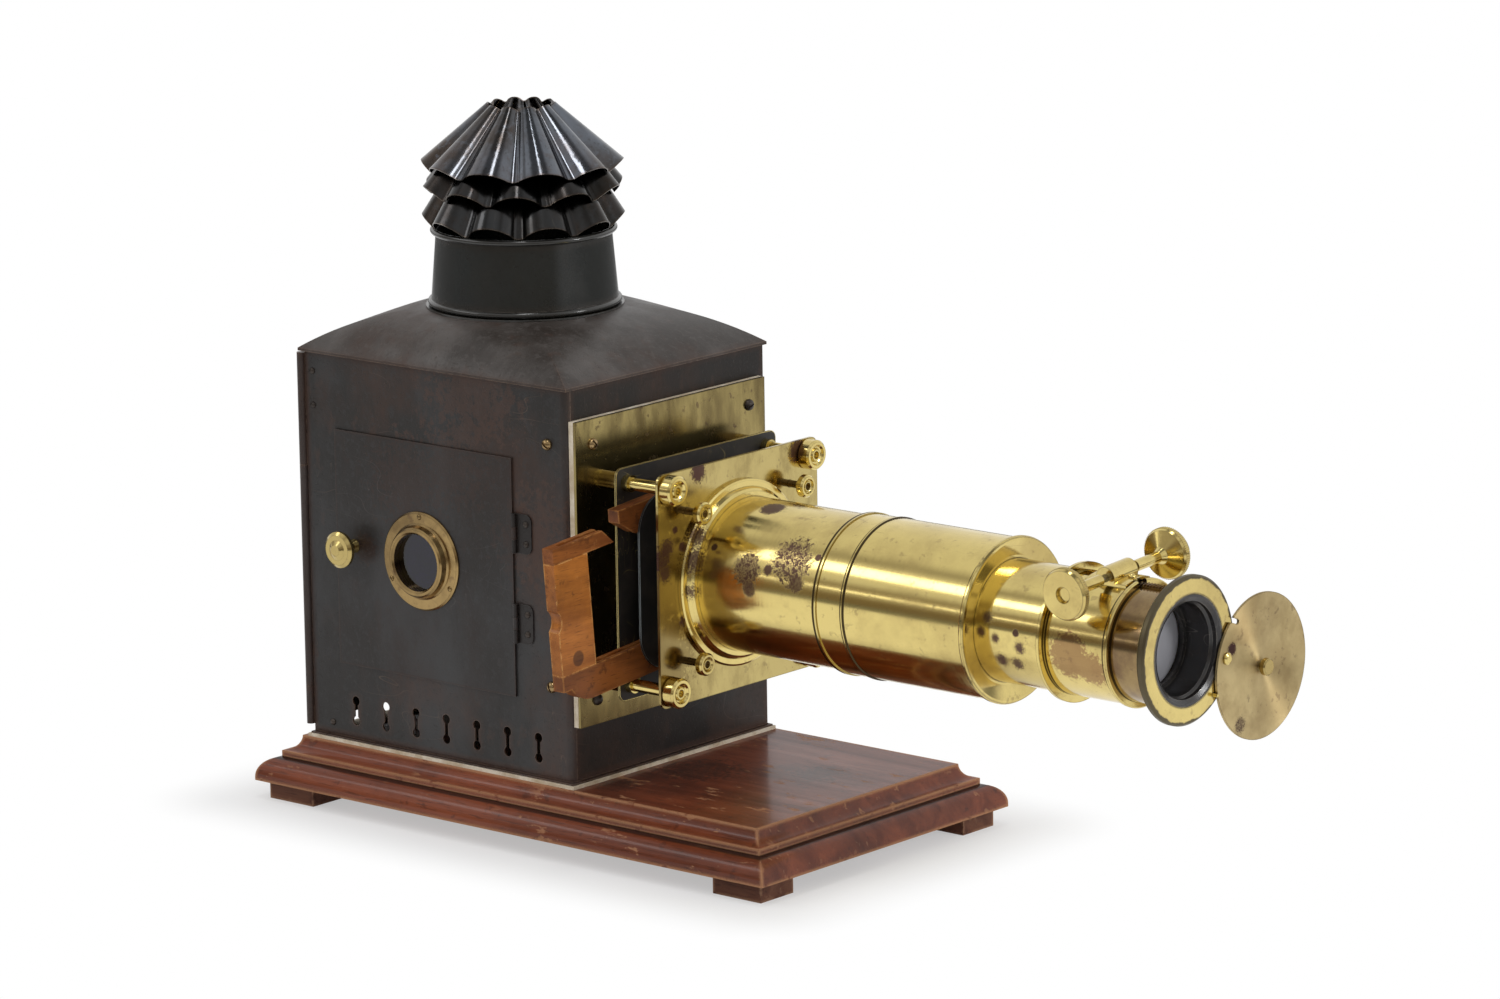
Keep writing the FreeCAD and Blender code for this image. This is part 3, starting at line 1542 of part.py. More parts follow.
def focus_tube():
    inner = S.focus_radius - S.focus_wall
    long = S.focus_length
    tube = [(-long, inner), (-long, S.focus_radius), (0, S.focus_radius), (0, inner)]
    node("focus_tube", turned("x", tube, (flange_back, 0, axis)))

    body = doc.addObject("PartDesign::Body", "Rack")
    sketch = sketch_on(body, "XZ_Plane")
    top = rack_pitch - S.gear_module * 1.25
    pitch = rack_step
    start = rack_start
    end = flange_back - S.lens_socket - S.stage_play
    seat = S.focus_radius - S.focus_wall / 2
    draw_loop(sketch, rectangle(start, seat, end, top))
    strip = body.newObject("PartDesign::Pad", "Strip")
    strip.Profile = sketch
    bind(strip, "Length", S.rack_width)
    strip.Midplane = True
    tooth_sketch = sketch_on(body, "XZ_Plane")
    crown = rack_pitch + addendum - S.tooth_clearance
    pitch_half = pitch / 4 - S.tooth_backlash / 2
    first = start + pitch / 2
    foot = pitch_half * 1.4
    tip = pitch_half * 0.5
    under = top - S.tooth_clearance
    middle_of = first + pitch / 2
    feet = [(middle_of - foot, under), (middle_of + foot, under)]
    tips = [(middle_of + tip, crown), (middle_of - tip, crown)]
    draw_loop(tooth_sketch, feet + tips)
    tooth = body.newObject("PartDesign::Pad", "Tooth")
    tooth.Profile = tooth_sketch
    bind(tooth, "Length", S.rack_width)
    tooth.Midplane = True
    doc.recompute()
    count = int((number(end) - number(first)) / number(pitch) - 0.5)
    row = body.newObject("PartDesign::LinearPattern", "Row")
    row.Originals = [tooth]
    row.Direction = (sketch, ["H_Axis"])
    bind(row, "Length", pitch * (count - 1))
    row.Occurrences = count
    body.Tip = row
    tube_core = rod("x", (start, 0, 0), S.focus_radius, end - start)
    node("focus_rack", place(cut(body, tube_core), (0, 0, axis), ROLL))


def lens_flange():
    rim = S.lens_flange
    thick = S.lens_flange_thickness
    tube = S.focus_radius + S.tenon_fit
    opening = S.focus_radius - S.focus_wall
    socket = -S.lens_socket
    profile = [
        (socket, tube),
        (socket, tube + 1.5 * S.focus_wall),
        (0, tube + 1.5 * S.focus_wall),
        (0, rim - thick * 0.2),
        (thick * 0.25, rim),
        (thick * 0.75, rim),
        (thick, rim - thick * 0.25),
        (thick, opening),
        (0, opening),
        (0, tube),
    ]
    node("lens_flange", turned("x", profile, (flange_back, 0, axis)))

    outer = opening - S.lens_fit
    lip = S.lens_cell_lip
    deep = -S.lens_cell_depth
    seat = S.lens_radius + S.lens_fit
    wall = S.focus_wall
    cell = [
        (deep, seat),
        (deep, outer),
        (thick, outer),
        (thick, outer - wall),
        (thick - wall, lip),
        (thick - 3 * wall, lip),
        (thick - 4 * wall, lip - wall),
        (deep + 3 * wall, seat + wall),
        (deep + 3 * wall, seat - wall),
        (deep + 2 * wall, seat - wall),
        (deep + 2 * wall, seat),
    ]
    node("lens_cell", turned("x", cell, (flange_back, 0, axis)))
    curve = 4 * S.lens_radius
    blank = rod("x", (flange_back + deep - 2 * wall, 0, axis), S.lens_radius, 4 * wall - S.lens_fit)
    front_lens = common(blank, ball((flange_back + deep + 2 * wall - S.lens_fit - curve, 0, axis), curve))
    back = flange_back - S.focus_length
    bore = S.focus_radius - S.focus_wall - S.lens_fit
    rear_lens = common(rod("x", (back, 0, axis), bore, 6 * wall), ball((back + curve, 0, axis), curve))
    node("objective_lenses", group(front_lens, rear_lens))


pivot_y = S.cap_pivot_radius * cosine(S.cap_pivot_angle)
pivot_z = S.cap_pivot_radius * sine(S.cap_pivot_angle)
stop_y = S.cap_stop_reach * cosine(S.cap_stop_bearing)
stop_z = S.cap_stop_reach * sine(S.cap_stop_bearing)


def lens_cap():
    pin = S.cap_pivot_pin
    slot_half_width = S.cap_stop_pin + S.cap_stop_play
    disc = rod("x", (0, 0, 0), S.cap_radius, S.cap_thickness)
    hole = rod("x", (-S.cap_thickness, -pivot_y, -pivot_z), pin + S.cap_fit, 3 * S.cap_thickness)
    centre_hole = rod("x", (-S.cap_thickness, 0, 0), S.screw_shank, 3 * S.cap_thickness)
    reach = S.cap_stop_reach
    ring = cut(
        rod("x", (-S.cap_thickness, -pivot_y, -pivot_z), reach + slot_half_width, 3 * S.cap_thickness),
        rod("x", (-S.cap_thickness, -pivot_y, -pivot_z), reach - slot_half_width, 3 * S.cap_thickness),
    )
    notch_y = -pivot_y - stop_y
    notch_z = -pivot_z - stop_z
    bearing = S.cap_stop_bearing - 180
    wedge = padded("x", rectangle(-reach / 2, 0, reach / 2, reach), 3 * S.cap_thickness)
    place(wedge, (-S.cap_thickness, notch_y, notch_z), bearing)
    end_of_slot = rod("x", (-S.cap_thickness, notch_y, notch_z), slot_half_width, 3 * S.cap_thickness)
    notch = common(ring, wedge)
    cap = cut(disc, hole, centre_hole, fuse(notch, end_of_slot))
    node("lens_cap", place(cap, (cap_back, 2 * pivot_y, axis + 2 * pivot_z)))

    big = S.cap_knob_radius
    thin = S.cap_thickness
    stem = S.screw_shank
    profile = [
        (0, 0),
        (0, stem - S.cap_fit),
        (thin, stem - S.cap_fit),
        (thin, big * 0.7),
        (thin + big * 0.1, big * 0.6),
        (thin + big * 0.3, big * 0.6),
        (thin + big * 0.4, big * 0.95),
        (thin + big * 0.5, big),
        (thin + big * 0.95, big),
        (thin + big * 1.1, big * 0.85),
        (thin + big * 1.1, 0),
    ]
    node("cap_knob", turned("x", profile, (cap_back, 2 * pivot_y, axis + 2 * pivot_z)))

    depth = S.lens_flange_thickness * 0.6
    head = S.cap_pivot_head
    through = S.cap_gap + S.cap_thickness + S.cap_gap / 2
    screw = [
        (-depth, 0),
        (-depth, pin),
        (through, pin),
        (through, head),
        (through + head * 0.25, head),
        (through + head * 0.5, head * 0.6),
        (through + head * 0.5, 0),
    ]
    washer = [(0, pin + S.cap_fit), (0, head), (S.cap_gap / 2, head), (S.cap_gap / 2, pin + S.cap_fit)]
    pivot_at = (flange_face, pivot_y, axis + pivot_z)
    stop_at = (flange_face - depth, pivot_y + stop_y, axis + pivot_z + stop_z)
    stop = rod("x", stop_at, S.cap_stop_pin, depth + S.cap_gap + 2 * S.cap_thickness)
    pieces = group(turned("x", screw, pivot_at), stop, turned("x", washer, pivot_at))
    node("cap_fasteners", pieces)
    flange = NODES.pop("lens_flange")
    sockets = [
        rod("x", (flange_face - depth, pivot_y, axis + pivot_z), pin, 2 * depth),
        rod("x", stop_at, S.cap_stop_pin, 2 * depth),
    ]
    flange.Label = "lens_flange_blank"
    node("lens_flange", cut(flange, *sockets))


# Lamp

lamp_front = condenser_back - S.lamp_gap
lamp_rear = lamp_front - S.lamp_length
tank_top = board_top + S.lamp_height
burner_x = lamp_front - S.burner_place
burner_top = tank_top + S.burner_height
wick_top = burner_top + S.wick_proud
wheel_z = tank_top + S.wick_spindle_height


def lamp():
    half = S.lamp_width / 2
    tank = padded("z", rectangle(lamp_rear, -half, lamp_front, half), S.lamp_height, at=(0, 0, board_top))
    post_x = lamp_rear + S.reflector_place
    node("lamp_reservoir", round_corners(tank, "z", S.lamp_corner))

    wall = S.burner_wall
    wide = S.burner_radius
    tall = S.burner_height
    profile = [
        (0, 0),
        (0, wide),
        (tall * 0.2, wide),
        (tall * 0.25, wide * 0.8),
        (tall * 0.5, wide * 0.8),
        (tall * 0.8, wide),
        (tall, wide * 0.85),
        (tall, 0),
    ]
    solid = turned("z", profile, (burner_x, 0, tank_top))
    thick = S.wick_thickness / 2 + S.wick_play
    width = S.wick_width / 2 + S.wick_play
    wick_low = wick_top - S.wick_height
    slot_low = wick_low - S.wick_travel - S.wick_play
    slot = box((burner_x - thick, -width, slot_low), (burner_x + thick, width, burner_top + wall))
    wheel_x = burner_x - S.wick_thickness / 2 - S.wick_play - S.wick_wheel
    room = S.wick_wheel + S.wick_play
    gallery = rod("y", (wheel_x, -width, wheel_z), room, 2 * width)
    spindle_way = rod("y", (wheel_x, -2 * wide, wheel_z), S.wick_spindle + S.spindle_fit, 4 * wide)
    node("lamp_burner", cut(solid, slot, gallery, spindle_way))
    low = (burner_x - S.wick_thickness / 2, -S.wick_width / 2, wick_low)
    high = (burner_x + S.wick_thickness / 2, S.wick_width / 2, wick_top)
    node("lamp_wick", box(low, high))

    reach = S.wick_spindle_length
    knob = S.wick_knob
    wheel_half = S.wick_width / 4
    inner_end = -wide
    spindle = [
        (inner_end, 0),
        (inner_end, S.wick_spindle),
        (-wheel_half, S.wick_spindle),
        (-wheel_half, S.wick_wheel),
        (wheel_half, S.wick_wheel),
        (wheel_half, S.wick_spindle),
        (reach - knob, S.wick_spindle),
        (reach - knob * 0.9, knob),
        (reach - knob * 0.3, knob),
        (reach, knob * 0.8),
        (reach, 0),
    ]
    towards_door = [(-along, radius) for along, radius in spindle]
    node("wick_spindle", turned("y", towards_door, (wheel_x, 0, wheel_z)))

    dish_x = post_x
    wide = S.reflector_radius
    sag = S.reflector_sag
    curve = (wide * wide + sag * sag) / (2 * sag)
    centre_x = dish_x + curve
    shell = cut(ball((centre_x, 0, axis), curve), ball((centre_x, 0, axis), curve - S.reflector_wall))
    window = rod("x", (dish_x - S.reflector_wall, 0, axis), wide, sag + S.reflector_wall)
    post_top = axis - wide / 2
    post = rod("z", (dish_x + sag / 2, 0, tank_top), S.reflector_post, post_top - tank_top)
    bowl_space = ball((centre_x, 0, axis), curve - S.reflector_wall / 2)
    node("lamp_reflector", fuse(common(shell, window), cut(post, bowl_space)))


def build():
    base_boards()
    base_feet()
    base_packing()
    vents = vent_tools()
    near_side_wall(vents)
    far_side_wall(vents)
    front_wall()
    roof()
    chimney_socket()
    chimney_collar()
    cowl_tiers()
    side_door()
    side_hinges()
    side_door_window()
    side_door_knob()
    rear_door()
    back_plate()
    wall_fasteners()
    stage_plates()
    stage_pillars()
    pressure_plate()
    slide_carrier()
    condenser()
    nozzle()
    draw_tube()
    objective_jacket()
    pinion_box()
    pinion()
    pinion_knobs()
    focus_tube()
    lens_flange()
    lens_cap()
    lamp()
    doc.recompute()


def check():
    """Stop before writing anything if a feature failed or a sub-part isn't a sound solid."""
    failed = [thing.Label for thing in doc.Objects if "Invalid" in thing.State or "Error" in thing.State]
    for label, piece in NODES.items():
        shape = piece.Shape
        if shape.isNull() or not shape.isValid() or not shape.Solids:
            failed.append(label)
    if failed:
        raise SystemExit("failed: " + ", ".join(failed))


build()
check()
os.makedirs("parts", exist_ok=True)
for label, piece in NODES.items():
    piece.Shape.exportStep(f"parts/{label}.step")
print(len(NODES), "sub-parts")
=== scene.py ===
# %% [markdown]
# # Dressing a magic lantern
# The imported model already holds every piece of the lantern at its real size. This lesson adds what
# a photograph shows and a solid model does not: old brass, browned iron, worn mahogany, small screws,
# and the soft light of a studio. The first cell loads the solids and keeps the size of their box.

# %% Load the lantern's solids
import json
import math

import bpy
from mathutils import Matrix, Quaternion, Vector


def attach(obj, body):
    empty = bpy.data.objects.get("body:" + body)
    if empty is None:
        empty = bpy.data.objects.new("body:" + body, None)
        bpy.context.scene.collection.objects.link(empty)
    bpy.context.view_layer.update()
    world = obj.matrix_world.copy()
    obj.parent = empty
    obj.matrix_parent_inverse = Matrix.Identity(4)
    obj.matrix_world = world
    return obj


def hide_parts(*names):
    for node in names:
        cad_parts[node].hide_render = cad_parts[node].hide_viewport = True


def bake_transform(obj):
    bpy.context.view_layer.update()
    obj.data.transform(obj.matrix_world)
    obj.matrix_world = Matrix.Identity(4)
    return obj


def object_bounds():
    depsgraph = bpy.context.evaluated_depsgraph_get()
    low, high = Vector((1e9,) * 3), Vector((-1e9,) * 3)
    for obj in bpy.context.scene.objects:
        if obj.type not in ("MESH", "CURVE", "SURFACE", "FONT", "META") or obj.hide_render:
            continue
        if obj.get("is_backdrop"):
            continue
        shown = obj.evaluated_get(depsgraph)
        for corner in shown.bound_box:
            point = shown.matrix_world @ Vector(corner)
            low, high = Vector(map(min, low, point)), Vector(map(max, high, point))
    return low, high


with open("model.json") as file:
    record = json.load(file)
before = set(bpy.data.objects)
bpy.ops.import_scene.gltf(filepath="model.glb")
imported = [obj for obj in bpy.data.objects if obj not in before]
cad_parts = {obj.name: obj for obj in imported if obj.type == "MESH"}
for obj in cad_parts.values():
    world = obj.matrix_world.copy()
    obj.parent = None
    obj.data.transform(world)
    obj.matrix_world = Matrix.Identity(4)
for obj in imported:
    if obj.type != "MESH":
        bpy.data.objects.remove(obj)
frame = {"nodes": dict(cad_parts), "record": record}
solids = frame["nodes"]
cad_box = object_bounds()
print("solids:", len(solids), "box:", [round(v, 3) for corner in cad_box for v in corner])

# %% [markdown]
# ## The camera
# A long lens keeps upright edges nearly parallel, as product photographs do. The place and the turn
# were worked out from the straight edges of the base and the house, so the lantern lands on the same
# pixels as in the picture. Building the turn from a view direction and a roll is easier to read than
# three Euler angles.

# %% Set the camera
PICTURE_WIDTH = 1500
FOCAL_PIXELS = 6780.1
SENSOR = 36.0
FAR_CLIP = 60
CAMERA_PLACE = Vector((3.0761, -3.4826, 1.2421))
CAMERA_AZIMUTH = 40.35
CAMERA_ELEVATION = 12.35
CAMERA_ROLL = -0.81


def set_camera(place, azimuth, elevation, roll):
    """Puts the camera at place, looking back along the given angles in degrees."""
    across, rise, lean = (math.radians(a) for a in (azimuth, elevation, roll))
    level = math.cos(rise)
    back = Vector((math.sin(across) * level, -math.cos(across) * level, math.sin(rise)))
    lens = bpy.data.cameras.new("photo_camera")
    lens.sensor_width = SENSOR
    lens.lens = SENSOR * FOCAL_PIXELS / PICTURE_WIDTH
    lens.clip_end = FAR_CLIP
    camera = bpy.data.objects.new("photo_camera", lens)
    bpy.context.scene.collection.objects.link(camera)
    turn = (-back).to_track_quat("-Z", "Y").to_matrix() @ Matrix.Rotation(lean, 3, "Z")
    camera.matrix_world = Matrix.Translation(place) @ turn.to_4x4()
    bpy.context.scene.camera = camera
    return camera


camera = set_camera(CAMERA_PLACE, CAMERA_AZIMUTH, CAMERA_ELEVATION, CAMERA_ROLL)
print("lens in mm:", round(camera.data.lens, 1))

# %% [markdown]
# ## Writing node trees in short lines
# Materials, the world and Geometry Nodes are all node trees. Clicking nodes together is quick by hand
# and long in code, so one small function adds a node, sets its options and fills its inputs: an input
# that is given a socket gets a wire, and anything else becomes the socket's own value.

# %% Helpers for node trees
def add(tree, kind, wires=None, **options):
    """Adds one node. The keys of wires are input names or numbers."""
    made = tree.nodes.new(kind)
    for key, value in options.items():
        setattr(made, key, value)
    for key, value in (wires or {}).items():
        if isinstance(value, bpy.types.NodeSocket):
            tree.links.new(value, made.inputs[key])
        else:
            made.inputs[key].default_value = value
    return made


def calc(tree, way, first, second=0.0, clamp=False):
    """One Math node; gives its output."""
    wires = {0: first, 1: second}
    return add(tree, "ShaderNodeMath", wires, operation=way, use_clamp=clamp).outputs[0]


def ease(tree, value, low, high, start=0.0, end=1.0):
    """Maps low..high smoothly to start..end."""
    wires = {"Value": value, "From Min": low, "From Max": high, "To Min": start, "To Max": end}
    return add(tree, "ShaderNodeMapRange", wires, interpolation_type="SMOOTHSTEP").outputs[0]


def mix(tree, share, first, second):
    """Mixes two colours by a share from 0 to 1."""
    wires = {0: share, 6: first, 7: second}
    return add(tree, "ShaderNodeMix", wires, data_type="RGBA", blend_type="MIX").outputs[2]


def tone(red, green, blue):
    """A screen colour of 0 to 255 as the linear colour that shaders use."""
    def linear(v):
        v = v / 255
        return v / 12.92 if v <= 0.04045 else ((v + 0.055) / 1.055) ** 2.4
    return (linear(red), linear(green), linear(blue), 1.0)


print("a mid grey is", round(tone(128, 128, 128)[0], 3), "in linear light")

# %% [markdown]
# ## The studio
# The lantern stands on a white sweep. A white floor lit hard enough to clip would also bleach the
# lantern, so the floor helps itself to white: its material glows for camera and glossy rays, fully
# from a hand's breadth off the base and only in part beside it, where the soft shadow has to show. Seen
# in the brass, the sweep ends a step away from the lantern, where the darker room begins.

# %% A white floor
BASE_HALF = (0.237, 0.134)
SWEEP_END = 1.5
SWEEP_GONE = 2.4
ROOM_FLOOR = 0.2
PAPER = (0.88, 0.88, 0.88, 1)
WHITE = (1, 1, 1, 1)


def from_base(tree):
    """The distance on the floor from the outline of the base."""
    spot = add(tree, "ShaderNodeTexCoord").outputs["Object"]
    sides = add(tree, "ShaderNodeSeparateXYZ", {0: spot}).outputs
    gaps = []
    for side, half in zip("XY", BASE_HALF):
        past = calc(tree, "SUBTRACT", calc(tree, "ABSOLUTE", sides[side]), half)
        gaps.append(calc(tree, "MAXIMUM", past, 0.0))
    squares = [calc(tree, "MULTIPLY", gap, gap) for gap in gaps]
    return calc(tree, "SQRT", calc(tree, "ADD", *squares))


def make_floor(half, far, near_share):
    """A square floor whose material turns to plain white within far metres of the base."""
    mesh = bpy.data.meshes.new("floor")
    corners = [(-half, -half, 0), (half, -half, 0), (half, half, 0), (-half, half, 0)]
    mesh.from_pydata(corners, [], [(0, 1, 2, 3)])
    floor = bpy.data.objects.new("floor", mesh)
    bpy.context.scene.collection.objects.link(floor)
    paper = bpy.data.materials.new("white_sweep")
    paper.use_nodes = True
    tree = paper.node_tree
    tree.nodes.clear()
    gap = from_base(tree)
    share = ease(tree, gap, 0.0, far, near_share, 1.0)
    ray = add(tree, "ShaderNodeLightPath").outputs
    direct = calc(tree, "MAXIMUM", ray["Is Camera Ray"], ray["Is Transmission Ray"])
    mirrored = ease(tree, gap, SWEEP_END, SWEEP_GONE, 1.0, ROOM_FLOOR)
    glowing = calc(tree, "MAXIMUM", direct, mirrored)
    seen = calc(tree, "MAXIMUM", direct, ray["Is Glossy Ray"])
    glow = add(tree, "ShaderNodeEmission", {"Color": WHITE, "Strength": glowing})
    matt = add(tree, "ShaderNodeBsdfDiffuse", {"Color": PAPER})
    wires = {0: calc(tree, "MULTIPLY", share, seen), 1: matt.outputs[0], 2: glow.outputs[0]}
    both = add(tree, "ShaderNodeMixShader", wires)
    add(tree, "ShaderNodeOutputMaterial", {0: both.outputs[0]})
    mesh.materials.append(paper)
    floor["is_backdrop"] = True
    return floor


floor = make_floor(half=16.0, far=0.085, near_share=0.45)
print("floor material:", floor.data.materials[0].name)

# %% [markdown]
# ## The room that the metal mirrors
# Behind the lantern the sky is as white as the sweep. In front it is a room: dim and warm at eye level
# and brighter above, with a dark ceiling, and those steps give the brass and the cowl their bands. A
# colour ramp over the height paints each of the two. Its stops are a height, a grey and a warmth.

# %% The world around the lantern
ROOM = [(0.0, 0.2, 0.4), (0.1, 0.22, 0.4), (0.2, 0.5, 0.1), (0.3, 0.32, 0.25),
        (0.4, 0.75, 0.0), (0.62, 0.8, 0.0), (0.71, 0.36, 0.1), (0.78, 0.85, 0.0),
        (0.88, 0.75, 0.0), (0.94, 0.22, 0.0), (1.0, 0.2, 0.0)]
SWEEP = [(0.0, 0.97, 0.0), (0.5, 0.92, 0.0), (0.86, 0.8, 0.0), (0.94, 0.22, 0.0), (1.0, 0.2, 0.0)]
ROOM_ENDS = -0.25
SWEEP_STARTS = 0.1


def sky_ramp(tree, height, stops):
    """Colour by height (the sine of the elevation)."""
    ramp = add(tree, "ShaderNodeValToRGB", {0: height})
    while len(ramp.color_ramp.elements) < len(stops):
        ramp.color_ramp.elements.new(0.5)
    for element, (place, grey, warmth) in zip(ramp.color_ramp.elements, stops):
        element.position = place
        element.color = (grey, grey * (1 - warmth * 0.5), grey * (1 - warmth), 1)
    return ramp.outputs[0]


def make_world(front, back):
    """A studio: front is the room before the lantern, back the white sweep behind it."""
    world = bpy.data.worlds.new("studio")
    bpy.context.scene.world = world
    world.use_nodes = True
    tree = world.node_tree
    tree.nodes.clear()
    way = add(tree, "ShaderNodeTexCoord").outputs["Generated"]
    sides = add(tree, "ShaderNodeSeparateXYZ", {0: way}).outputs
    behind = ease(tree, sides["Y"], ROOM_ENDS, SWEEP_STARTS)
    skies = [sky_ramp(tree, sides["Z"], stops) for stops in (front, back)]
    colour = mix(tree, behind, *skies)
    ray = add(tree, "ShaderNodeLightPath").outputs
    seen = calc(tree, "MAXIMUM", ray["Is Camera Ray"], ray["Is Transmission Ray"])
    room = add(tree, "ShaderNodeBackground", {"Color": colour, "Strength": 1.0})
    white = add(tree, "ShaderNodeBackground", {"Color": WHITE, "Strength": 1.0})
    both = add(tree, "ShaderNodeMixShader", {0: seen, 1: room.outputs[0], 2: white.outputs[0]})
    add(tree, "ShaderNodeOutputWorld", {0: both.outputs[0]})
    return world


world = make_world(ROOM, SWEEP)
bpy.context.scene.view_settings.view_transform = "Standard"
print("world:", world.name)

# %% [markdown]
# ## Soft lamps
# Four area lamps stand in for soft boxes. Metal shows lamps as shapes, so their sizes and places matter
# more than their power: the long box on the left draws the white line along the tubes, a thin strip
# below it draws the second, fainter one, and a strip overhead draws the streaks on the cowl. A small
# box on the right keeps the front wall readable and lights the bright wedges on the cap.

# %% Place the soft boxes
LANTERN_MIDDLE = Vector((0.12, 0.0, 0.2))


def soft_box(name, place, wide, tall, power):
    """A rectangular lamp that faces the middle of the lantern."""
    light = bpy.data.lights.new(name, "AREA")
    light.shape = "RECTANGLE"
    light.size = wide
    light.size_y = tall
    light.energy = power
    lamp = bpy.data.objects.new(name, light)
    bpy.context.scene.collection.objects.link(lamp)
    look = (LANTERN_MIDDLE - Vector(place)).to_track_quat("-Z", "Y").to_matrix().to_4x4()
    lamp.matrix_world = Matrix.Translation(place) @ look
    return lamp


lamps = [
    soft_box("key_left", (-1.14, -1.2, 1.46), wide=1.3, tall=0.34, power=4.2),
    soft_box("thin_strip", (-1.14, -1.69, 0.68), wide=1.5, tall=0.07, power=0.55),
    soft_box("top_strip", (0.35, -0.5, 2.6), wide=0.3, tall=1.3, power=9.0),
    soft_box("right_fill", (2.3, 0.9, 1.1), wide=0.4, tall=0.4, power=10.0),
]
print("lamps:", [lamp.name for lamp in lamps])

# %% [markdown]
# ## Effects that several finishes share
# Old surfaces differ in colour but age in the same ways: they mottle, their edges rub bright, they
# pick up scratches and spots. Each way of ageing is one node group, built once and placed in every
# material that needs it with its own numbers. Groups give out masks only, and the shaders stay
# in the materials.

# %% A group for mottling and a group for worn edges
EDGE_STARTS = 0.99
EDGE_FULL = 0.9
WEAR_LIMIT = 0.72
WEAR_REACH = 0.5
WEAR_SOFTNESS = 0.05


def new_group(name, inputs, outputs):
    """A shader node group; inputs are (name, kind, value) and outputs are names of values."""
    tree = bpy.data.node_groups.new(name, "ShaderNodeTree")
    for label, kind, value in inputs:
        socket = tree.interface.new_socket(label, in_out="INPUT", socket_type="NodeSocket" + kind)
        if value is not None:
            socket.default_value = value
    for label in outputs:
        tree.interface.new_socket(label, in_out="OUTPUT", socket_type="NodeSocketFloat")
    return tree, tree.nodes.new("NodeGroupInput").outputs, tree.nodes.new("NodeGroupOutput")


def cloud(tree, vector, scale, detail, rough):
    """Fractal noise; gives its value."""
    wires = {"Vector": vector, "Scale": scale, "Detail": detail, "Roughness": rough}
    return add(tree, "ShaderNodeTexNoise", wires).outputs[0]


def mottle_group():
    """Cloudy patches: noise pushed through a soft threshold."""
    sockets = [("Vector", "Vector", None), ("Scale", "Float", 10.0),
               ("Low", "Float", 0.4), ("High", "Float", 0.6)]
    tree, given, leave = new_group("Mottle", sockets, ["Mask"])
    noise = cloud(tree, given["Vector"], given["Scale"], 6.0, 0.62)
    tree.links.new(ease(tree, noise, given["Low"], given["High"]), leave.inputs["Mask"])
    return tree


def worn_edge_group():
    """Finds edges by comparing the real normal with a rounded one, and breaks them up with noise."""
    sockets = [("Vector", "Vector", None), ("Radius", "Float", 0.001),
               ("Breaks", "Float", 60.0), ("Bite", "Float", 0.5)]
    tree, given, leave = new_group("WornEdge", sockets, ["Mask"])
    rounded = add(tree, "ShaderNodeBevel", {"Radius": given["Radius"]}, samples=6).outputs[0]
    real = add(tree, "ShaderNodeNewGeometry").outputs["Normal"]
    same = add(tree, "ShaderNodeVectorMath", {0: rounded, 1: real}, operation="DOT_PRODUCT")
    edge = ease(tree, same.outputs["Value"], EDGE_STARTS, EDGE_FULL)
    noise = cloud(tree, given["Vector"], given["Breaks"], 6.0, 0.68)
    low = calc(tree, "SUBTRACT", WEAR_LIMIT, calc(tree, "MULTIPLY", given["Bite"], WEAR_REACH))
    kept = calc(tree, "SUBTRACT", low, WEAR_SOFTNESS)
    worn = calc(tree, "ADD", low, WEAR_SOFTNESS)
    broken = ease(tree, noise, kept, worn)
    tree.links.new(calc(tree, "MULTIPLY", edge, broken, clamp=True), leave.inputs["Mask"])
    return tree


MOTTLE = mottle_group()
WORN = worn_edge_group()
print("groups:", MOTTLE.name, WORN.name)

# %% Groups for scratches, single stains and wood
SCRATCH_RUNS = [((0.4, 0.9, 0.3), (1.0, 14.0, 3.0)), ((1.1, 0.2, 0.8), (9.0, 1.0, 2.0))]
STAIN_PUSH = 5.0
VEIN_SCALE = 0.7
VEIN_EDGE = 0.035
VEIN_MIDDLE = 0.012
FIGURE_STRETCH = (4.0, 46.0, 46.0)
PORE_STRETCH = (60.0, 900.0, 900.0)


def from_half(tree, value):
    """How far a noise is from its middle value."""
    return calc(tree, "ABSOLUTE", calc(tree, "SUBTRACT", value, 0.5))


def scratch_group():
    """Thin lines: two stretched noises, each kept only where it crosses its middle value."""
    sockets = [("Vector", "Vector", None), ("Scale", "Float", 20.0), ("Width", "Float", 0.01)]
    tree, given, leave = new_group("Scratches", sockets, ["Mask"])
    lines = []
    for turn, stretch in SCRATCH_RUNS:
        wires = {"Vector": given["Vector"], "Rotation": turn, "Scale": stretch}
        moved = add(tree, "ShaderNodeMapping", wires).outputs[0]
        noise = cloud(tree, moved, given["Scale"], 1.0, 0.5)
        lines.append(ease(tree, from_half(tree, noise), given["Width"], 0.0))
    kept = ease(tree, cloud(tree, given["Vector"], given["Scale"], 2.0, 0.5), 0.5, 0.62)
    both = calc(tree, "MAXIMUM", *lines)
    tree.links.new(calc(tree, "MULTIPLY", both, kept), leave.inputs["Mask"])
    return tree


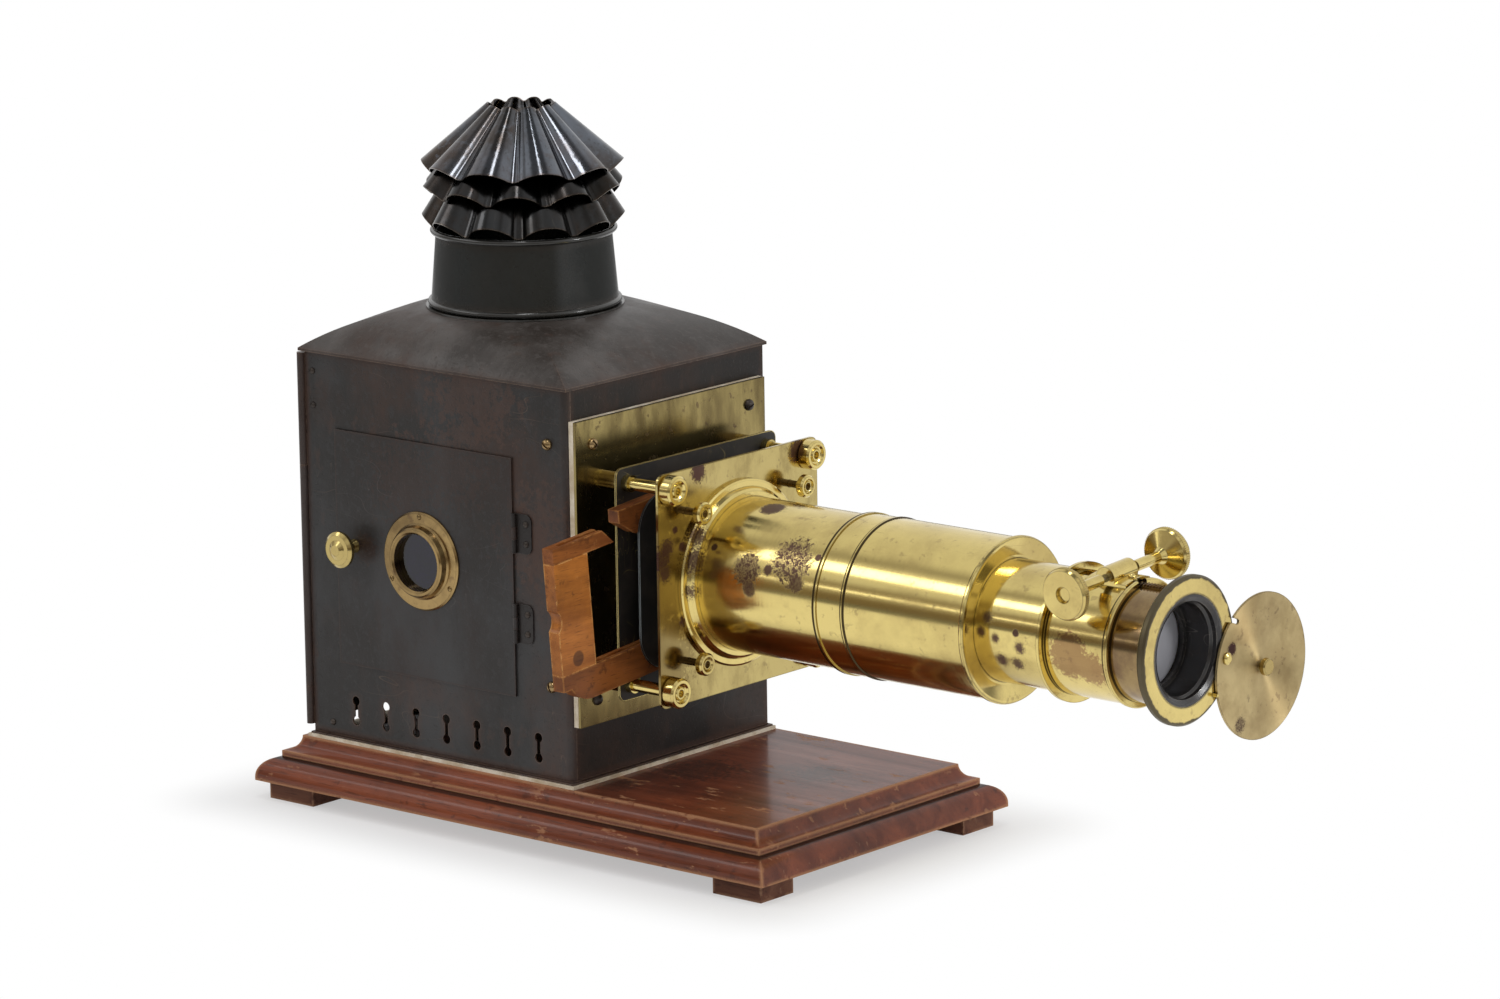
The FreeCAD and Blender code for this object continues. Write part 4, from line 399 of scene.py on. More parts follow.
def stain_group():
    """One ragged stain round a centre. Lace opens bright veins in it."""
    sockets = [("Vector", "Vector", None), ("Centre", "Vector", None), ("Size", "Float", 0.01),
               ("Ragged", "Float", 0.8), ("Grain", "Float", 160.0), ("Lace", "Float", 0.0)]
    tree, given, leave = new_group("Stain", sockets, ["Mask"])
    ends = {0: given["Vector"], 1: given["Centre"]}
    gap = add(tree, "ShaderNodeVectorMath", ends, operation="DISTANCE").outputs["Value"]
    share = calc(tree, "DIVIDE", gap, given["Size"])
    noise = cloud(tree, given["Vector"], given["Grain"], 8.0, 0.75)
    reach = calc(tree, "MULTIPLY", given["Ragged"], STAIN_PUSH)
    push = calc(tree, "MULTIPLY", calc(tree, "SUBTRACT", noise, 0.5), reach)
    blot = ease(tree, calc(tree, "ADD", share, push), 1.0, 0.75)
    vein_grain = calc(tree, "MULTIPLY", given["Grain"], VEIN_SCALE)
    veins = cloud(tree, given["Vector"], vein_grain, 6.0, 0.7)
    open_vein = ease(tree, from_half(tree, veins), VEIN_EDGE, VEIN_MIDDLE)
    kept = calc(tree, "SUBTRACT", 1.0, calc(tree, "MULTIPLY", open_vein, given["Lace"]))
    tree.links.new(calc(tree, "MULTIPLY", blot, kept), leave.inputs["Mask"])
    return tree


def wood_group():
    """Grain along X: stretched noise for the figure and short dark pores on top."""
    sockets = [("Vector", "Vector", None), ("Scale", "Float", 1.0)]
    tree, given, leave = new_group("WoodFigure", sockets, ["Figure", "Pores"])
    wires = {"Vector": given["Vector"], "Scale": FIGURE_STRETCH}
    wide = add(tree, "ShaderNodeMapping", wires).outputs[0]
    wires = {"Vector": wide, "Scale": given["Scale"], "Detail": 5.0, "Roughness": 0.6, "Distortion": 0.5}
    bands = add(tree, "ShaderNodeTexNoise", wires).outputs[0]
    wires = {"Vector": given["Vector"], "Scale": PORE_STRETCH}
    thin = add(tree, "ShaderNodeMapping", wires).outputs[0]
    pores = cloud(tree, thin, given["Scale"], 2.0, 0.5)
    tree.links.new(ease(tree, bands, 0.3, 0.7), leave.inputs["Figure"])
    tree.links.new(ease(tree, pores, 0.56, 0.7), leave.inputs["Pores"])
    return tree


SCRATCH = scratch_group()
STAIN = stain_group()
WOOD = wood_group()
print("groups:", SCRATCH.name, STAIN.name, WOOD.name)

# %% [markdown]
# ## Starting a finish
# Every finish below starts with the same few nodes: object coordinates, which stay with a piece when
# it moves, a Principled shader and the output. A small class keeps them together, so that a finish
# reads as a list of what happened to the surface.

# %% The start of every material
STAIN_GRAIN = 6.0
GROOVE_WIDTH = 0.0011
GROOVE_FLOOR = 0.4


class Finish:
    """A material under construction, with its tree, its coordinates and its shader."""

    def __init__(self, name, metal=0.0, **constants):
        self.material = bpy.data.materials.new(name)
        self.material.use_nodes = True
        self.tree = self.material.node_tree
        self.tree.nodes.clear()
        self.spot = add(self.tree, "ShaderNodeTexCoord").outputs["Object"]
        self.shader = add(self.tree, "ShaderNodeBsdfPrincipled", {"Metallic": metal})
        for socket, value in constants.items():
            self.shader.inputs[socket.replace("_", " ")].default_value = value
        add(self.tree, "ShaderNodeOutputMaterial", {0: self.shader.outputs[0]})

    def group(self, kind, output="Mask", **values):
        """Places a shared group and gives one of its outputs."""
        wires = {"Vector": values.pop("vector", self.spot)}
        wires.update({key.capitalize(): value for key, value in values.items()})
        return add(self.tree, "ShaderNodeGroup", wires, node_tree=kind).outputs[output]

    def turned(self, scale, turn=(0, 0, 0)):
        """Object coordinates, stretched and turned."""
        wires = {"Vector": self.spot, "Scale": scale, "Rotation": turn}
        return add(self.tree, "ShaderNodeMapping", wires).outputs[0]

    def noise(self, scale, detail=3.0, vector=None):
        """Plain noise over the surface."""
        return cloud(self.tree, vector or self.spot, scale, detail, 0.55)

    def stains(self, rows, start=None):
        """The strongest of several placed stains; rows are centre, size, raggedness and lace."""
        total = start
        for centre, size, ragged, lace in rows:
            grain = STAIN_GRAIN / size
            one = self.group(STAIN, centre=centre, size=size, ragged=ragged, grain=grain, lace=lace)
            total = one if total is None else self.calc("MAXIMUM", total, one)
        return total

    def lines(self, side, places):
        """Thin soft lines across one coordinate: dirt in grooves, and painted shade in the gaps between
        parts.
        """
        along = add(self.tree, "ShaderNodeSeparateXYZ", {0: self.spot}).outputs[side]
        total = 0.0
        for place in places:
            off = self.calc("ABSOLUTE", self.calc("SUBTRACT", along, place))
            one = ease(self.tree, off, GROOVE_WIDTH, GROOVE_WIDTH * GROOVE_FLOOR)
            total = self.calc("MAXIMUM", total, one)
        return total

    def mix(self, share, first, second):
        """Mixes two colours by a mask."""
        return mix(self.tree, share, first, second)

    def calc(self, way, first, second=0.0, clamp=False):
        """One step of arithmetic."""
        return calc(self.tree, way, first, second, clamp)

    def cover(self, below, mask, share, above):
        """Lays a colour over the one below, by a mask weakened to a share."""
        return self.mix(self.calc("MULTIPLY", mask, share), below, above)

    def lift(self, value, mask, share, clamp=False):
        """A value raised by a share of a mask, or lowered where the share is negative."""
        return self.calc("ADD", value, self.calc("MULTIPLY", mask, share), clamp)

    def wire(self, socket, value):
        """Feeds one input of the shader."""
        self.tree.links.new(value, self.shader.inputs[socket])

    def bump(self, height, strength, distance):
        """Feeds the shader's normal from a height."""
        wires = {"Height": height, "Strength": strength, "Distance": distance}
        self.wire("Normal", add(self.tree, "ShaderNodeBump", wires).outputs[0])


def dress(finish, *names):
    """Gives a finish to some of the lantern's solids."""
    for name in names:
        slots = solids[name].data.materials
        slots.clear()
        slots.append(finish)
    print(finish.name, "on", ", ".join(names))


print("finish helper ready")

# %% [markdown]
# ## Browned iron
# The house is thin sheet iron under an oiled, browned skin. Such a skin is an oxide, so it shines like
# varnish and not like bare metal: a dark base with a satin gloss, which picks up a grey veil from the
# white studio. Patches of rust, pepper-like pits and edges rubbed to brown break it up. On the fluted
# cowl the sheet shines as bare metal. Three copies of the iron carry painted light. The front wall and
# the cowl's two lower tiers get darker copies, which are painted shade. The roof gets a lighter one,
# which is partly dust and partly painted sheen.

# %% A recipe for iron sheet
IRON_FLOW = (1.0, 1.0, 0.6)
RUST = tone(82, 56, 44)
RUBBED = tone(126, 104, 88)


def iron(name, dark, cool, rust=RUST, rubbed=RUBBED, rusty=0.5, rough=0.4, metal=0.0, marks=(),
         edge_width=0.003, shine=0.35, waves=6.0, grain=0.3):
    """Old sheet iron. waves sets its dents, and grain its fine texture and scratches."""
    made = Finish(name, metal=metal, Specular_IOR_Level=shine)
    flow = made.turned(IRON_FLOW)
    tint = made.group(MOTTLE, vector=flow, scale=8.0, low=0.38, high=0.62)
    bloom = made.group(MOTTLE, vector=flow, scale=13.0, low=0.46, high=0.7)
    specks = made.group(MOTTLE, vector=flow, scale=70.0, low=0.56, high=0.68)
    pepper = made.group(MOTTLE, scale=190.0, low=0.52, high=0.64)
    pits = made.group(MOTTLE, scale=420.0, low=0.55, high=0.7)
    edge = made.group(WORN, radius=edge_width * 2.5, breaks=24.0, bite=0.95)
    thin = made.group(WORN, radius=edge_width * 0.4, breaks=110.0, bite=0.55)
    scratch = made.group(SCRATCH, scale=11.0, width=0.0022)
    fine = made.noise(650.0, 4.0)
    colour = made.mix(tint, dark, cool)
    colour = made.cover(colour, bloom, rusty, rust)
    colour = made.cover(colour, specks, rusty * 0.6, rust)
    colour = made.cover(colour, pepper, 0.4, cool)
    colour = made.cover(colour, pits, 0.5, dark)
    if marks:
        colour = made.cover(colour, made.stains(marks), 0.45, rust)
    colour = made.cover(colour, scratch, 0.06 + 0.8 * grain, rubbed)
    colour = made.cover(colour, edge, 0.5, rust)
    colour = made.cover(colour, thin, 0.5, rubbed)
    made.wire("Base Color", colour)
    gloss = made.lift(rough - 0.07, fine, 0.02 + 0.4 * grain)
    gloss = made.lift(gloss, bloom, 0.14)
    gloss = made.lift(gloss, tint, -0.05)
    gloss = made.lift(gloss, pepper, 0.2 * grain)
    made.wire("Roughness", made.lift(gloss, edge, 0.08, clamp=True))
    height = made.lift(made.calc("MULTIPLY", made.noise(11.0, 2.0), waves), fine, grain)
    made.bump(made.lift(height, pits, -1.6 * grain), 0.35, 0.0005)
    return made.material


print("rust and rubbed edges in linear light:", [round(v, 3) for v in RUST[:3] + RUBBED[:3]])

# %% Iron for the house and its door
WALL_MARKS = [((-0.150, -0.104, 0.189), 0.012, 0.6, 0.0), ((-0.047, -0.103, 0.318), 0.04, 1.2, 0.3),
              ((-0.064, -0.104, 0.257), 0.028, 1.2, 0.3), ((0.012, -0.103, 0.215), 0.034, 1.2, 0.3),
              ((-0.110, -0.104, 0.242), 0.03, 1.2, 0.3)]
FITTING_EDGE = 0.0012
wall_iron = iron("browned_iron", tone(35, 32, 30), tone(55, 55, 56), rusty=0.48, rough=0.38,
                 marks=WALL_MARKS)
# The front wall takes a darker copy of the wall iron: painted shade on the wall that faces away from the
# lamps on the left.
shaded_front_iron = iron("shaded_front_wall_iron", tone(25, 20, 17), tone(39, 32, 27), rusty=0.35, shine=0.28)
# The roof takes a lighter copy of the wall iron: partly dust, partly painted sheen from the bright sky
# above.
roof_iron_dust_and_sheen = iron("roof_iron_dust_and_sheen", tone(44, 37, 32), tone(84, 79, 76), rust=tone(72, 50, 39))
# The door's rust is darker than the walls' and also lies on its worn edges, so the line round the door is
# partly rust and partly painted shadow in the gap.
door_iron = iron("door_iron", tone(37, 33, 31), tone(56, 56, 57), rust=tone(60, 41, 33),
                 rubbed=tone(104, 98, 94), rusty=0.3, rough=0.36, marks=WALL_MARKS,
                 edge_width=FITTING_EDGE)
hinge_iron = iron("hinge_iron", tone(28, 23, 21), tone(42, 37, 35), rust=tone(24, 19, 17),
                  rubbed=tone(96, 90, 86), rusty=0.2, rough=0.34, edge_width=FITTING_EDGE)
dress(wall_iron, "near_side_wall", "far_side_wall", "rear_door", "rear_hinge_rod")
dress(door_iron, "side_door")
dress(hinge_iron, "side_hinge_leaves", "side_hinge_pins")
dress(shaded_front_iron, "front_wall")
dress(roof_iron_dust_and_sheen, "roof")

# %% Iron for the chimney
COWL_EDGE = 0.001
COWL_RUBBED = tone(170, 158, 138)
collar_iron = iron("collar_iron", tone(30, 31, 28), tone(39, 41, 40), rust=tone(42, 35, 28),
                   rubbed=tone(92, 86, 80), rusty=0.25, rough=0.2, shine=0.6, waves=3.0, grain=0.0)
cowl_iron = iron("cowl_iron", tone(64, 60, 55), tone(112, 117, 125), rust=tone(84, 62, 44),
                 rubbed=COWL_RUBBED, rusty=0.45, rough=0.2, metal=1.0, edge_width=COWL_EDGE,
                 waves=2.0, grain=0.0)
# The two lower tiers take a darker copy of the cowl iron: painted shade under the tier above.
shaded_cowl = iron("shaded_cowl_iron", tone(38, 36, 33), tone(58, 59, 60), rust=tone(60, 44, 32),
                  rubbed=COWL_RUBBED, rusty=0.4, rough=0.24, metal=1.0, edge_width=COWL_EDGE,
                  waves=2.0, grain=0.0)
dress(collar_iron, "chimney_socket", "chimney_collar")
dress(cowl_iron, "cowl_tier_upper")
dress(shaded_cowl, "cowl_tier_lower", "cowl_tier_middle")

# %% [markdown]
# ## Old brass
# Brass is a true metal: its colour lives in the reflection, so the shader is fully metallic and the
# studio does most of the work. Handling leaves brown films and purple-brown stains where the lacquer
# has gone. The film is a mottle, the large stains are placed one by one, and both also dull the gloss.
# The tubes are painted black inside, as lantern makers did to keep stray light off the screen: a mask
# by the distance from the optical axis paints the bore without touching the outside.

# %% Masks by the optical axis, and dirt with painted shade in lines
AXIS_HEIGHT = 0.189
RIM_FADE = 0.0012
RIM_RAGGED = 0.005


def from_axis(made):
    """The distance from the optical axis."""
    sides = add(made.tree, "ShaderNodeSeparateXYZ", {0: made.spot}).outputs
    up = made.calc("SUBTRACT", sides["Z"], AXIS_HEIGHT)
    squares = [made.calc("MULTIPLY", gap, gap) for gap in (sides["Y"], up)]
    return made.calc("SQRT", made.calc("ADD", *squares))


def dirt_and_shade_of(made, edge, edge_share, grooves, rim):
    """Grey-brown dirt at worn edges and, past the radius rim, on a flange; dark lines in grooves, partly
    dirt and partly painted shade in the gaps between parts.
    """
    dirt_and_shade = made.calc("MULTIPLY", edge, edge_share)
    # Dark lines across the tube: partly dirt in grooves, partly painted shade in the gaps between parts.
    if grooves:
        dirt_and_shade = made.calc("MAXIMUM", dirt_and_shade, made.calc("MULTIPLY", made.lines("X", grooves), 0.95))
    if rim:
        ragged = made.lift(from_axis(made), made.noise(120.0, 5.0), RIM_RAGGED)
        past = ease(made.tree, ragged, rim, rim + RIM_FADE)
        dirt_and_shade = made.calc("MAXIMUM", dirt_and_shade, made.calc("MULTIPLY", past, 0.9))
    return dirt_and_shade


print("optical axis in mm:", AXIS_HEIGHT * 1000)

# %% A recipe for old brass
CLEAN_BRASS = (0.74, 0.59, 0.22, 1)
DULL_BRASS = (0.40, 0.29, 0.11, 1)
DIRT_AND_GAP_SHADE = tone(48, 36, 26)
TARNISH = tone(72, 42, 54)
SOOT = tone(24, 22, 20)
BORE_FADE = 0.0003


def brass(name, clean=CLEAN_BRASS, dull=DULL_BRASS, film=0.45, rough=0.1, stains=(), films=(),
          film_tone=None, freckles=0.25, lathe=None, bore=None, drift=(1, 1, 1), edge_tone=DIRT_AND_GAP_SHADE,
          edge_width=0.0012, edge_share=0.5, grooves=(), rim=None, **constants):
    """Old brass. lathe stretches the ripples of turned work, and bore is the radius painted black."""
    made = Finish(name, metal=1.0, **constants)
    flow = made.turned(drift)
    haze = made.group(MOTTLE, vector=flow, scale=13.0, low=0.4, high=0.66)
    cloudy = made.group(MOTTLE, vector=flow, scale=45.0, low=0.5, high=0.7)
    small = made.group(MOTTLE, scale=130.0, low=0.6, high=0.67)
    edge = made.group(WORN, radius=edge_width, breaks=70.0, bite=0.75)
    marks = made.group(SCRATCH, scale=15.0, width=0.005)
    fine = made.noise(500.0)
    stain = made.stains(stains, made.calc("MULTIPLY", small, freckles))
    dirt_and_shade = dirt_and_shade_of(made, edge, edge_share, grooves, rim)
    colour = made.cover(clean, haze, film, dull)
    colour = made.cover(colour, cloudy, film * 0.6, dull)
    colour = made.cover(colour, marks, 0.35, dull)
    if films:
        colour = made.cover(colour, made.stains(films), 0.75, film_tone or dull)
    colour = made.cover(colour, stain, 0.9, TARNISH)
    colour = made.mix(dirt_and_shade, colour, edge_tone)
    gloss = made.lift(rough, haze, 0.05)
    gloss = made.lift(gloss, cloudy, 0.05)
    gloss = made.lift(gloss, fine, 0.03)
    gloss = made.lift(gloss, made.calc("MAXIMUM", stain, dirt_and_shade), 0.25, clamp=True)
    if bore:
        dark = ease(made.tree, from_axis(made), bore, bore - BORE_FADE)
        colour = made.mix(dark, colour, SOOT)
        gloss = made.lift(gloss, dark, 0.4, clamp=True)
        made.wire("Metallic", made.calc("SUBTRACT", 1.0, dark))
    made.wire("Base Color", colour)
    made.wire("Roughness", gloss)
    if lathe:
        ripples = made.noise(1.0, 2.0, made.turned(lathe))
    else:
        ripples = made.noise(45.0, 2.0)
    made.bump(made.lift(ripples, stain, -0.6), 0.1, 0.00025)
    return made.material


print("clean and dull brass:", CLEAN_BRASS[:3], DULL_BRASS[:3])

# %% Brass for the tubes
ALONG_TUBE = (420.0, 3.0, 3.0)
NOZZLE_STAINS = [((0.157, -0.050, 0.207), 0.0125, 0.5, 0.5), ((0.161, -0.0535, 0.194), 0.006, 0.4, 0.3),
                 ((0.193, -0.046, 0.217), 0.018, 0.5, 0.65), ((0.201, -0.052, 0.203), 0.007, 0.4, 0.4),
                 ((0.148, -0.012, 0.2417), 0.010, 0.25, 0.0), ((0.124, -0.046, 0.217), 0.003, 0.3, 0.0),
                 ((0.175, -0.050, 0.209), 0.0045, 0.5, 0.0), ((0.214, -0.043, 0.2215), 0.003, 0.3, 0.0)]
# The lines from 0.2172 to 0.2195 paint the shadow in the gap at the back end of the draw sleeve; the later
# ones are partly dirt and partly painted shade in grooves.
NOZZLE_GROOVES = (0.2172, 0.2180)
SLEEVE_GROOVES = (0.2187, 0.2195, 0.2428, 0.2452)
nozzle_brass = brass("nozzle_brass", film=0.5, rough=0.13, stains=NOZZLE_STAINS, lathe=ALONG_TUBE,
                     bore=0.0526, edge_tone=tone(46, 33, 25), grooves=NOZZLE_GROOVES)
sleeve_brass = brass("sleeve_brass", film=0.4, lathe=ALONG_TUBE, bore=0.0541, grooves=SLEEVE_GROOVES)
flange_brass = brass("flange_brass", film=0.6, edge_width=0.0016, edge_share=0.8, rim=0.0598)
dress(nozzle_brass, "nozzle_tube")
dress(sleeve_brass, "draw_sleeve")
dress(flange_brass, "sleeve_flange")

# %% Brass for the objective, with its own spots
JACKET_STAINS = [((0.357, -0.0405, 0.200), 0.0045, 0.9, 0.2), ((0.353, -0.0415, 0.190), 0.004, 0.9, 0.0),
                 ((0.365, -0.042, 0.187), 0.0035, 0.9, 0.0), ((0.385, -0.0415, 0.183), 0.0045, 0.9, 0.0),
                 ((0.381, -0.038, 0.171), 0.005, 0.9, 0.2), ((0.368, -0.0385, 0.172), 0.005, 0.9, 0.0),
                 ((0.382, -0.042, 0.193), 0.003, 0.3, 0.0)]
JACKET_FILMS = [((0.426, -0.0415, 0.183), 0.018, 0.35, 0.0), ((0.444, -0.040, 0.176), 0.013, 0.4, 0.0)]
# The jacket's lines sit at the edges of its rings: partly dirt, partly painted shade.
JACKET_GROOVES = (0.4021, 0.4066, 0.4543)
FOCUS_GROOVES = (0.4585,)
jacket_brass = brass("jacket_brass", film=0.55, stains=JACKET_STAINS, films=JACKET_FILMS,
                     film_tone=tone(142, 102, 74), lathe=ALONG_TUBE, bore=0.0393, grooves=JACKET_GROOVES)
focus_brass = brass("focus_brass", clean=(0.34, 0.24, 0.11, 1), dull=(0.13, 0.075, 0.05, 1), film=0.85,
                    rough=0.11, lathe=ALONG_TUBE, bore=0.0377, grooves=FOCUS_GROOVES)
rim_brass = brass("rim_brass", film=0.5, rough=0.14, edge_tone=tone(66, 62, 58), edge_width=0.003,
                  edge_share=0.9, rim=0.0497)
dress(jacket_brass, "objective_jacket")
dress(focus_brass, "focus_tube", "focus_rack")
dress(rim_brass, "lens_flange")

# %% Brass for the plates of the stage
PLATE_STAINS = [((0.1072, -0.0426, 0.267), 0.008, 0.5, 0.0), ((0.1072, 0.0634, 0.2644), 0.009, 0.5, 0.0),
                ((0.1072, -0.0763, 0.2197), 0.007, 0.9, 0.3), ((0.1072, -0.0817, 0.2123), 0.009, 0.9, 0.4),
                ((0.1072, -0.0788, 0.2013), 0.006, 0.9, 0.3), ((0.1072, -0.0606, 0.2176), 0.004, 0.6, 0.0),
                ((0.1072, -0.0598, 0.166), 0.005, 0.8, 0.0), ((0.1072, -0.0676, 0.2308), 0.003, 0.6, 0.0)]
PLATE_FILMS = [((0.1072, -0.078, 0.205), 0.05, 0.5, 0.0), ((0.1072, -0.075, 0.14), 0.03, 0.6, 0.0)]
RING_STAINS = [((0.111, -0.050, 0.2241), 0.008, 0.9, 0.2), ((0.111, -0.0525, 0.2069), 0.010, 0.9, 0.2),
               ((0.111, -0.0572, 0.1867), 0.006, 0.9, 0.2)]
plate_brass = brass("plate_brass", clean=(0.54, 0.43, 0.17, 1), dull=(0.24, 0.17, 0.065, 1), film=0.8,
                    rough=0.14, stains=PLATE_STAINS, films=PLATE_FILMS, drift=(1, 1, 0.6))
ring_brass = brass("ring_brass", film=0.3, rough=0.12, stains=RING_STAINS)
old_plate = brass("old_plate_brass", clean=(0.40, 0.315, 0.125, 1), dull=(0.15, 0.108, 0.045, 1),
                  film=0.9, rough=0.2, drift=(1, 1.6, 0.5), freckles=0.5)
dress(plate_brass, "objective_plate")
dress(ring_brass, "nozzle_flange")
dress(old_plate, "back_plate")

# %% [markdown]
# ## Turned brass and the cap
# Knobs and nuts come off a lathe and keep its fine rings. The swing cap shows them best: its face
# flashes in two opposite wedges, because each ring spreads light only across its own direction. The
# shader has a setting for that, anisotropy, with a tangent that runs out from the middle.

# %% Small turned work and bronze
PILLAR_FOOT = 0.057
PILLAR_OUT = 0.074
PILLAR_UP = 0.071
BOSSES = []
for out in (-PILLAR_OUT, PILLAR_OUT):
    for up in (-PILLAR_UP, PILLAR_UP):
        BOSSES.append(((PILLAR_FOOT, out, AXIS_HEIGHT + up), 0.013, 0.3, 0.0))
turned_brass = brass("turned_brass", film=0.5, rough=0.12, freckles=0.15, edge_share=0.6)
dark_rod = brass("dark_rod_brass", clean=(0.16, 0.11, 0.06, 1), dull=(0.06, 0.045, 0.03, 1), film=0.8,
                 rough=0.2)
knob_brass = brass("knob_brass", clean=(0.50, 0.39, 0.15, 1), film=0.6, rough=0.13, edge_share=0.6)
bronze = brass("bezel_bronze", clean=(0.38, 0.26, 0.11, 1), dull=(0.12, 0.078, 0.038, 1), film=0.7,
               rough=0.16)
pillar_brass = brass("pillar_brass", dull=(0.16, 0.11, 0.055, 1), film=0.3, rough=0.12, films=BOSSES,
                     edge_share=0.6)
dress(pillar_brass, "stage_pillars")
dress(dark_rod, "pull_rods")
dress(knob_brass, "side_door_knob", "cap_knob")
dress(turned_brass, "bezel_screws", "pillar_nuts", "pull_knobs", "pinion_box", "pinion_knobs",
      "cap_fasteners", "wall_fasteners", "condenser_cell", "lamp_burner", "wick_spindle")
dress(bronze, "window_bezel")

# %% The cap with its bright wedges
CAP_CENTRE = (0.4949, 0.0781, 0.1639)
CAP_STAINS = [((0.4957, 0.045, 0.1818), 0.005, 0.5, 0.0), ((0.4957, 0.0541, 0.1281), 0.006, 0.6, 0.9)]


def turned_disc(name, centre, stains):
    """Brass with the sheen of lathe rings round X about centre."""
    material = brass(name, clean=(0.62, 0.49, 0.25, 1), dull=(0.34, 0.24, 0.11, 1), film=0.6, rough=0.4,
                     stains=stains, freckles=0.3, Anisotropic=0.9)
    tree = material.node_tree
    shader = next(n for n in tree.nodes if n.type == "BSDF_PRINCIPLED")
    spot = next(n for n in tree.nodes if n.type == "TEX_COORD").outputs["Object"]
    arm = add(tree, "ShaderNodeVectorMath", {0: spot, 1: centre}, operation="SUBTRACT").outputs[0]
    unit = add(tree, "ShaderNodeVectorMath", {0: arm}, operation="NORMALIZE").outputs[0]
    tree.links.new(unit, shader.inputs["Tangent"])
    return material


cap_brass = turned_disc("cap_brass", CAP_CENTRE, CAP_STAINS)
dress(cap_brass, "lens_cap")

# %% [markdown]
# ## Mahogany and the lighter carrier wood
# The base is varnished mahogany whose varnish has worn off the mouldings, down to pale bare wood. The
# grain runs along the lantern. A clear coat gives the sheen, and the worn edge takes it away again.

# %% A recipe for wood
PORE_DARK = tone(40, 22, 14)
GRIME = tone(58, 30, 22)
SPOT_DARK = tone(46, 26, 20)
WOOD_STAIN = tone(48, 28, 20)
GROOVE_DIRT_AND_SHADE = tone(34, 18, 13)


def wood(name, light, deep, bare, coat=0.3, wear=0.8, turn=(0, 0, 0), scale=1.0, edge_width=0.004,
         scuffs=0.5, marks=(), grooves=()):
    """Varnished wood. turn lays the grain another way, and bare shows where the varnish has gone."""
    made = Finish(name, Coat_Roughness=0.16, Specular_IOR_Level=0.1)
    run = made.turned((1, 1, 1), turn)
    figure = made.group(WOOD, "Figure", vector=run, scale=scale)
    pores = made.group(WOOD, "Pores", vector=run, scale=scale)
    edge = made.group(WORN, radius=edge_width, breaks=80.0, bite=wear)
    along = made.turned((0.5, 1.4, 1.4), turn)
    scuff = made.group(MOTTLE, vector=along, scale=75.0, low=0.6, high=0.64)
    zone = made.group(MOTTLE, scale=9.0, low=0.42, high=0.58)
    grime = made.group(MOTTLE, scale=14.0, low=0.45, high=0.75)
    dots = made.group(MOTTLE, scale=85.0, low=0.6, high=0.68)
    colour = made.mix(figure, light, deep)
    colour = made.cover(colour, pores, 0.45, PORE_DARK)
    colour = made.cover(colour, grime, 0.55, GRIME)
    colour = made.cover(colour, dots, 0.45, SPOT_DARK)
    scuffed = made.calc("MULTIPLY", made.calc("MULTIPLY", scuff, zone), scuffs)
    bare_share = made.calc("MAXIMUM", edge, scuffed)
    colour = made.cover(colour, bare_share, 0.85, bare)
    if marks:
        colour = made.cover(colour, made.stains(marks), 0.7, WOOD_STAIN)
    # Dark lines at the given heights: partly dirt, partly painted shade where the boards meet.
    if grooves:
        colour = made.cover(colour, made.lines("Z", grooves), 0.85, GROOVE_DIRT_AND_SHADE)
    made.wire("Base Color", colour)
    rough = made.lift(0.36, figure, 0.12)
    made.wire("Roughness", made.lift(rough, bare_share, 0.35, clamp=True))
    made.wire("Coat Weight", made.calc("MULTIPLY", made.calc("SUBTRACT", 1.0, bare_share), coat))
    low = made.lift(made.calc("MULTIPLY", pores, -0.5), bare_share, -1.2)
    made.bump(low, 0.35, 0.0004)
    return made.material


print("pores and grime in linear light:", [round(v, 3) for v in PORE_DARK[:3] + GRIME[:3]])

# %% Wood for the base and the carrier
BASE_MARKS = [((0.079, -0.013, 0.0455), 0.03, 0.9, 0.6), ((0.150, 0.03, 0.0455), 0.02, 1.0, 0.6),
              ((0.06, -0.08, 0.0455), 0.016, 1.0, 0.6)]
# The line at the top of the lower board paints the shadow in the recess where the boards meet, with some
# dirt.
BOARD_GROOVES = (0.0300,)
DOWEL = [((0.0794, -0.1381, 0.1501), 0.0062, 0.06, 0.0)]
ALONG_CARRIER = (0, 0, math.radians(90))
CARRIER_GRAIN = 1.4
CARRIER_EDGE = 0.002
mahogany = wood("worn_mahogany", tone(136, 70, 43), tone(97, 46, 28), tone(190, 142, 106), coat=0.4,
                wear=0.68, edge_width=0.005, scuffs=0.65, marks=BASE_MARKS, grooves=BOARD_GROOVES)
foot_wood = wood("foot_wood", tone(128, 86, 66), tone(96, 60, 46), tone(166, 130, 104), coat=0.05,
                 wear=0.6)
carrier_wood = wood("carrier_wood", tone(196, 122, 54), tone(150, 88, 36), tone(214, 160, 96), coat=0.2,
                    wear=0.4, turn=ALONG_CARRIER, scale=CARRIER_GRAIN, edge_width=CARRIER_EDGE,
                    scuffs=0.2, marks=DOWEL)
# The rails take a darker copy of the carrier wood: painted shade.
shaded_rail = wood("shaded_rail_wood", tone(146, 86, 42), tone(96, 54, 26), tone(176, 122, 70), coat=0.15,
                 wear=0.45, turn=ALONG_CARRIER, scale=CARRIER_GRAIN, edge_width=CARRIER_EDGE, scuffs=0.2)
dress(mahogany, "base_lower_board", "base_upper_board")
dress(foot_wood, "base_feet")
dress(carrier_wood, "carrier_ends")
dress(shaded_rail, "carrier_bottom_rail", "carrier_top_rails")

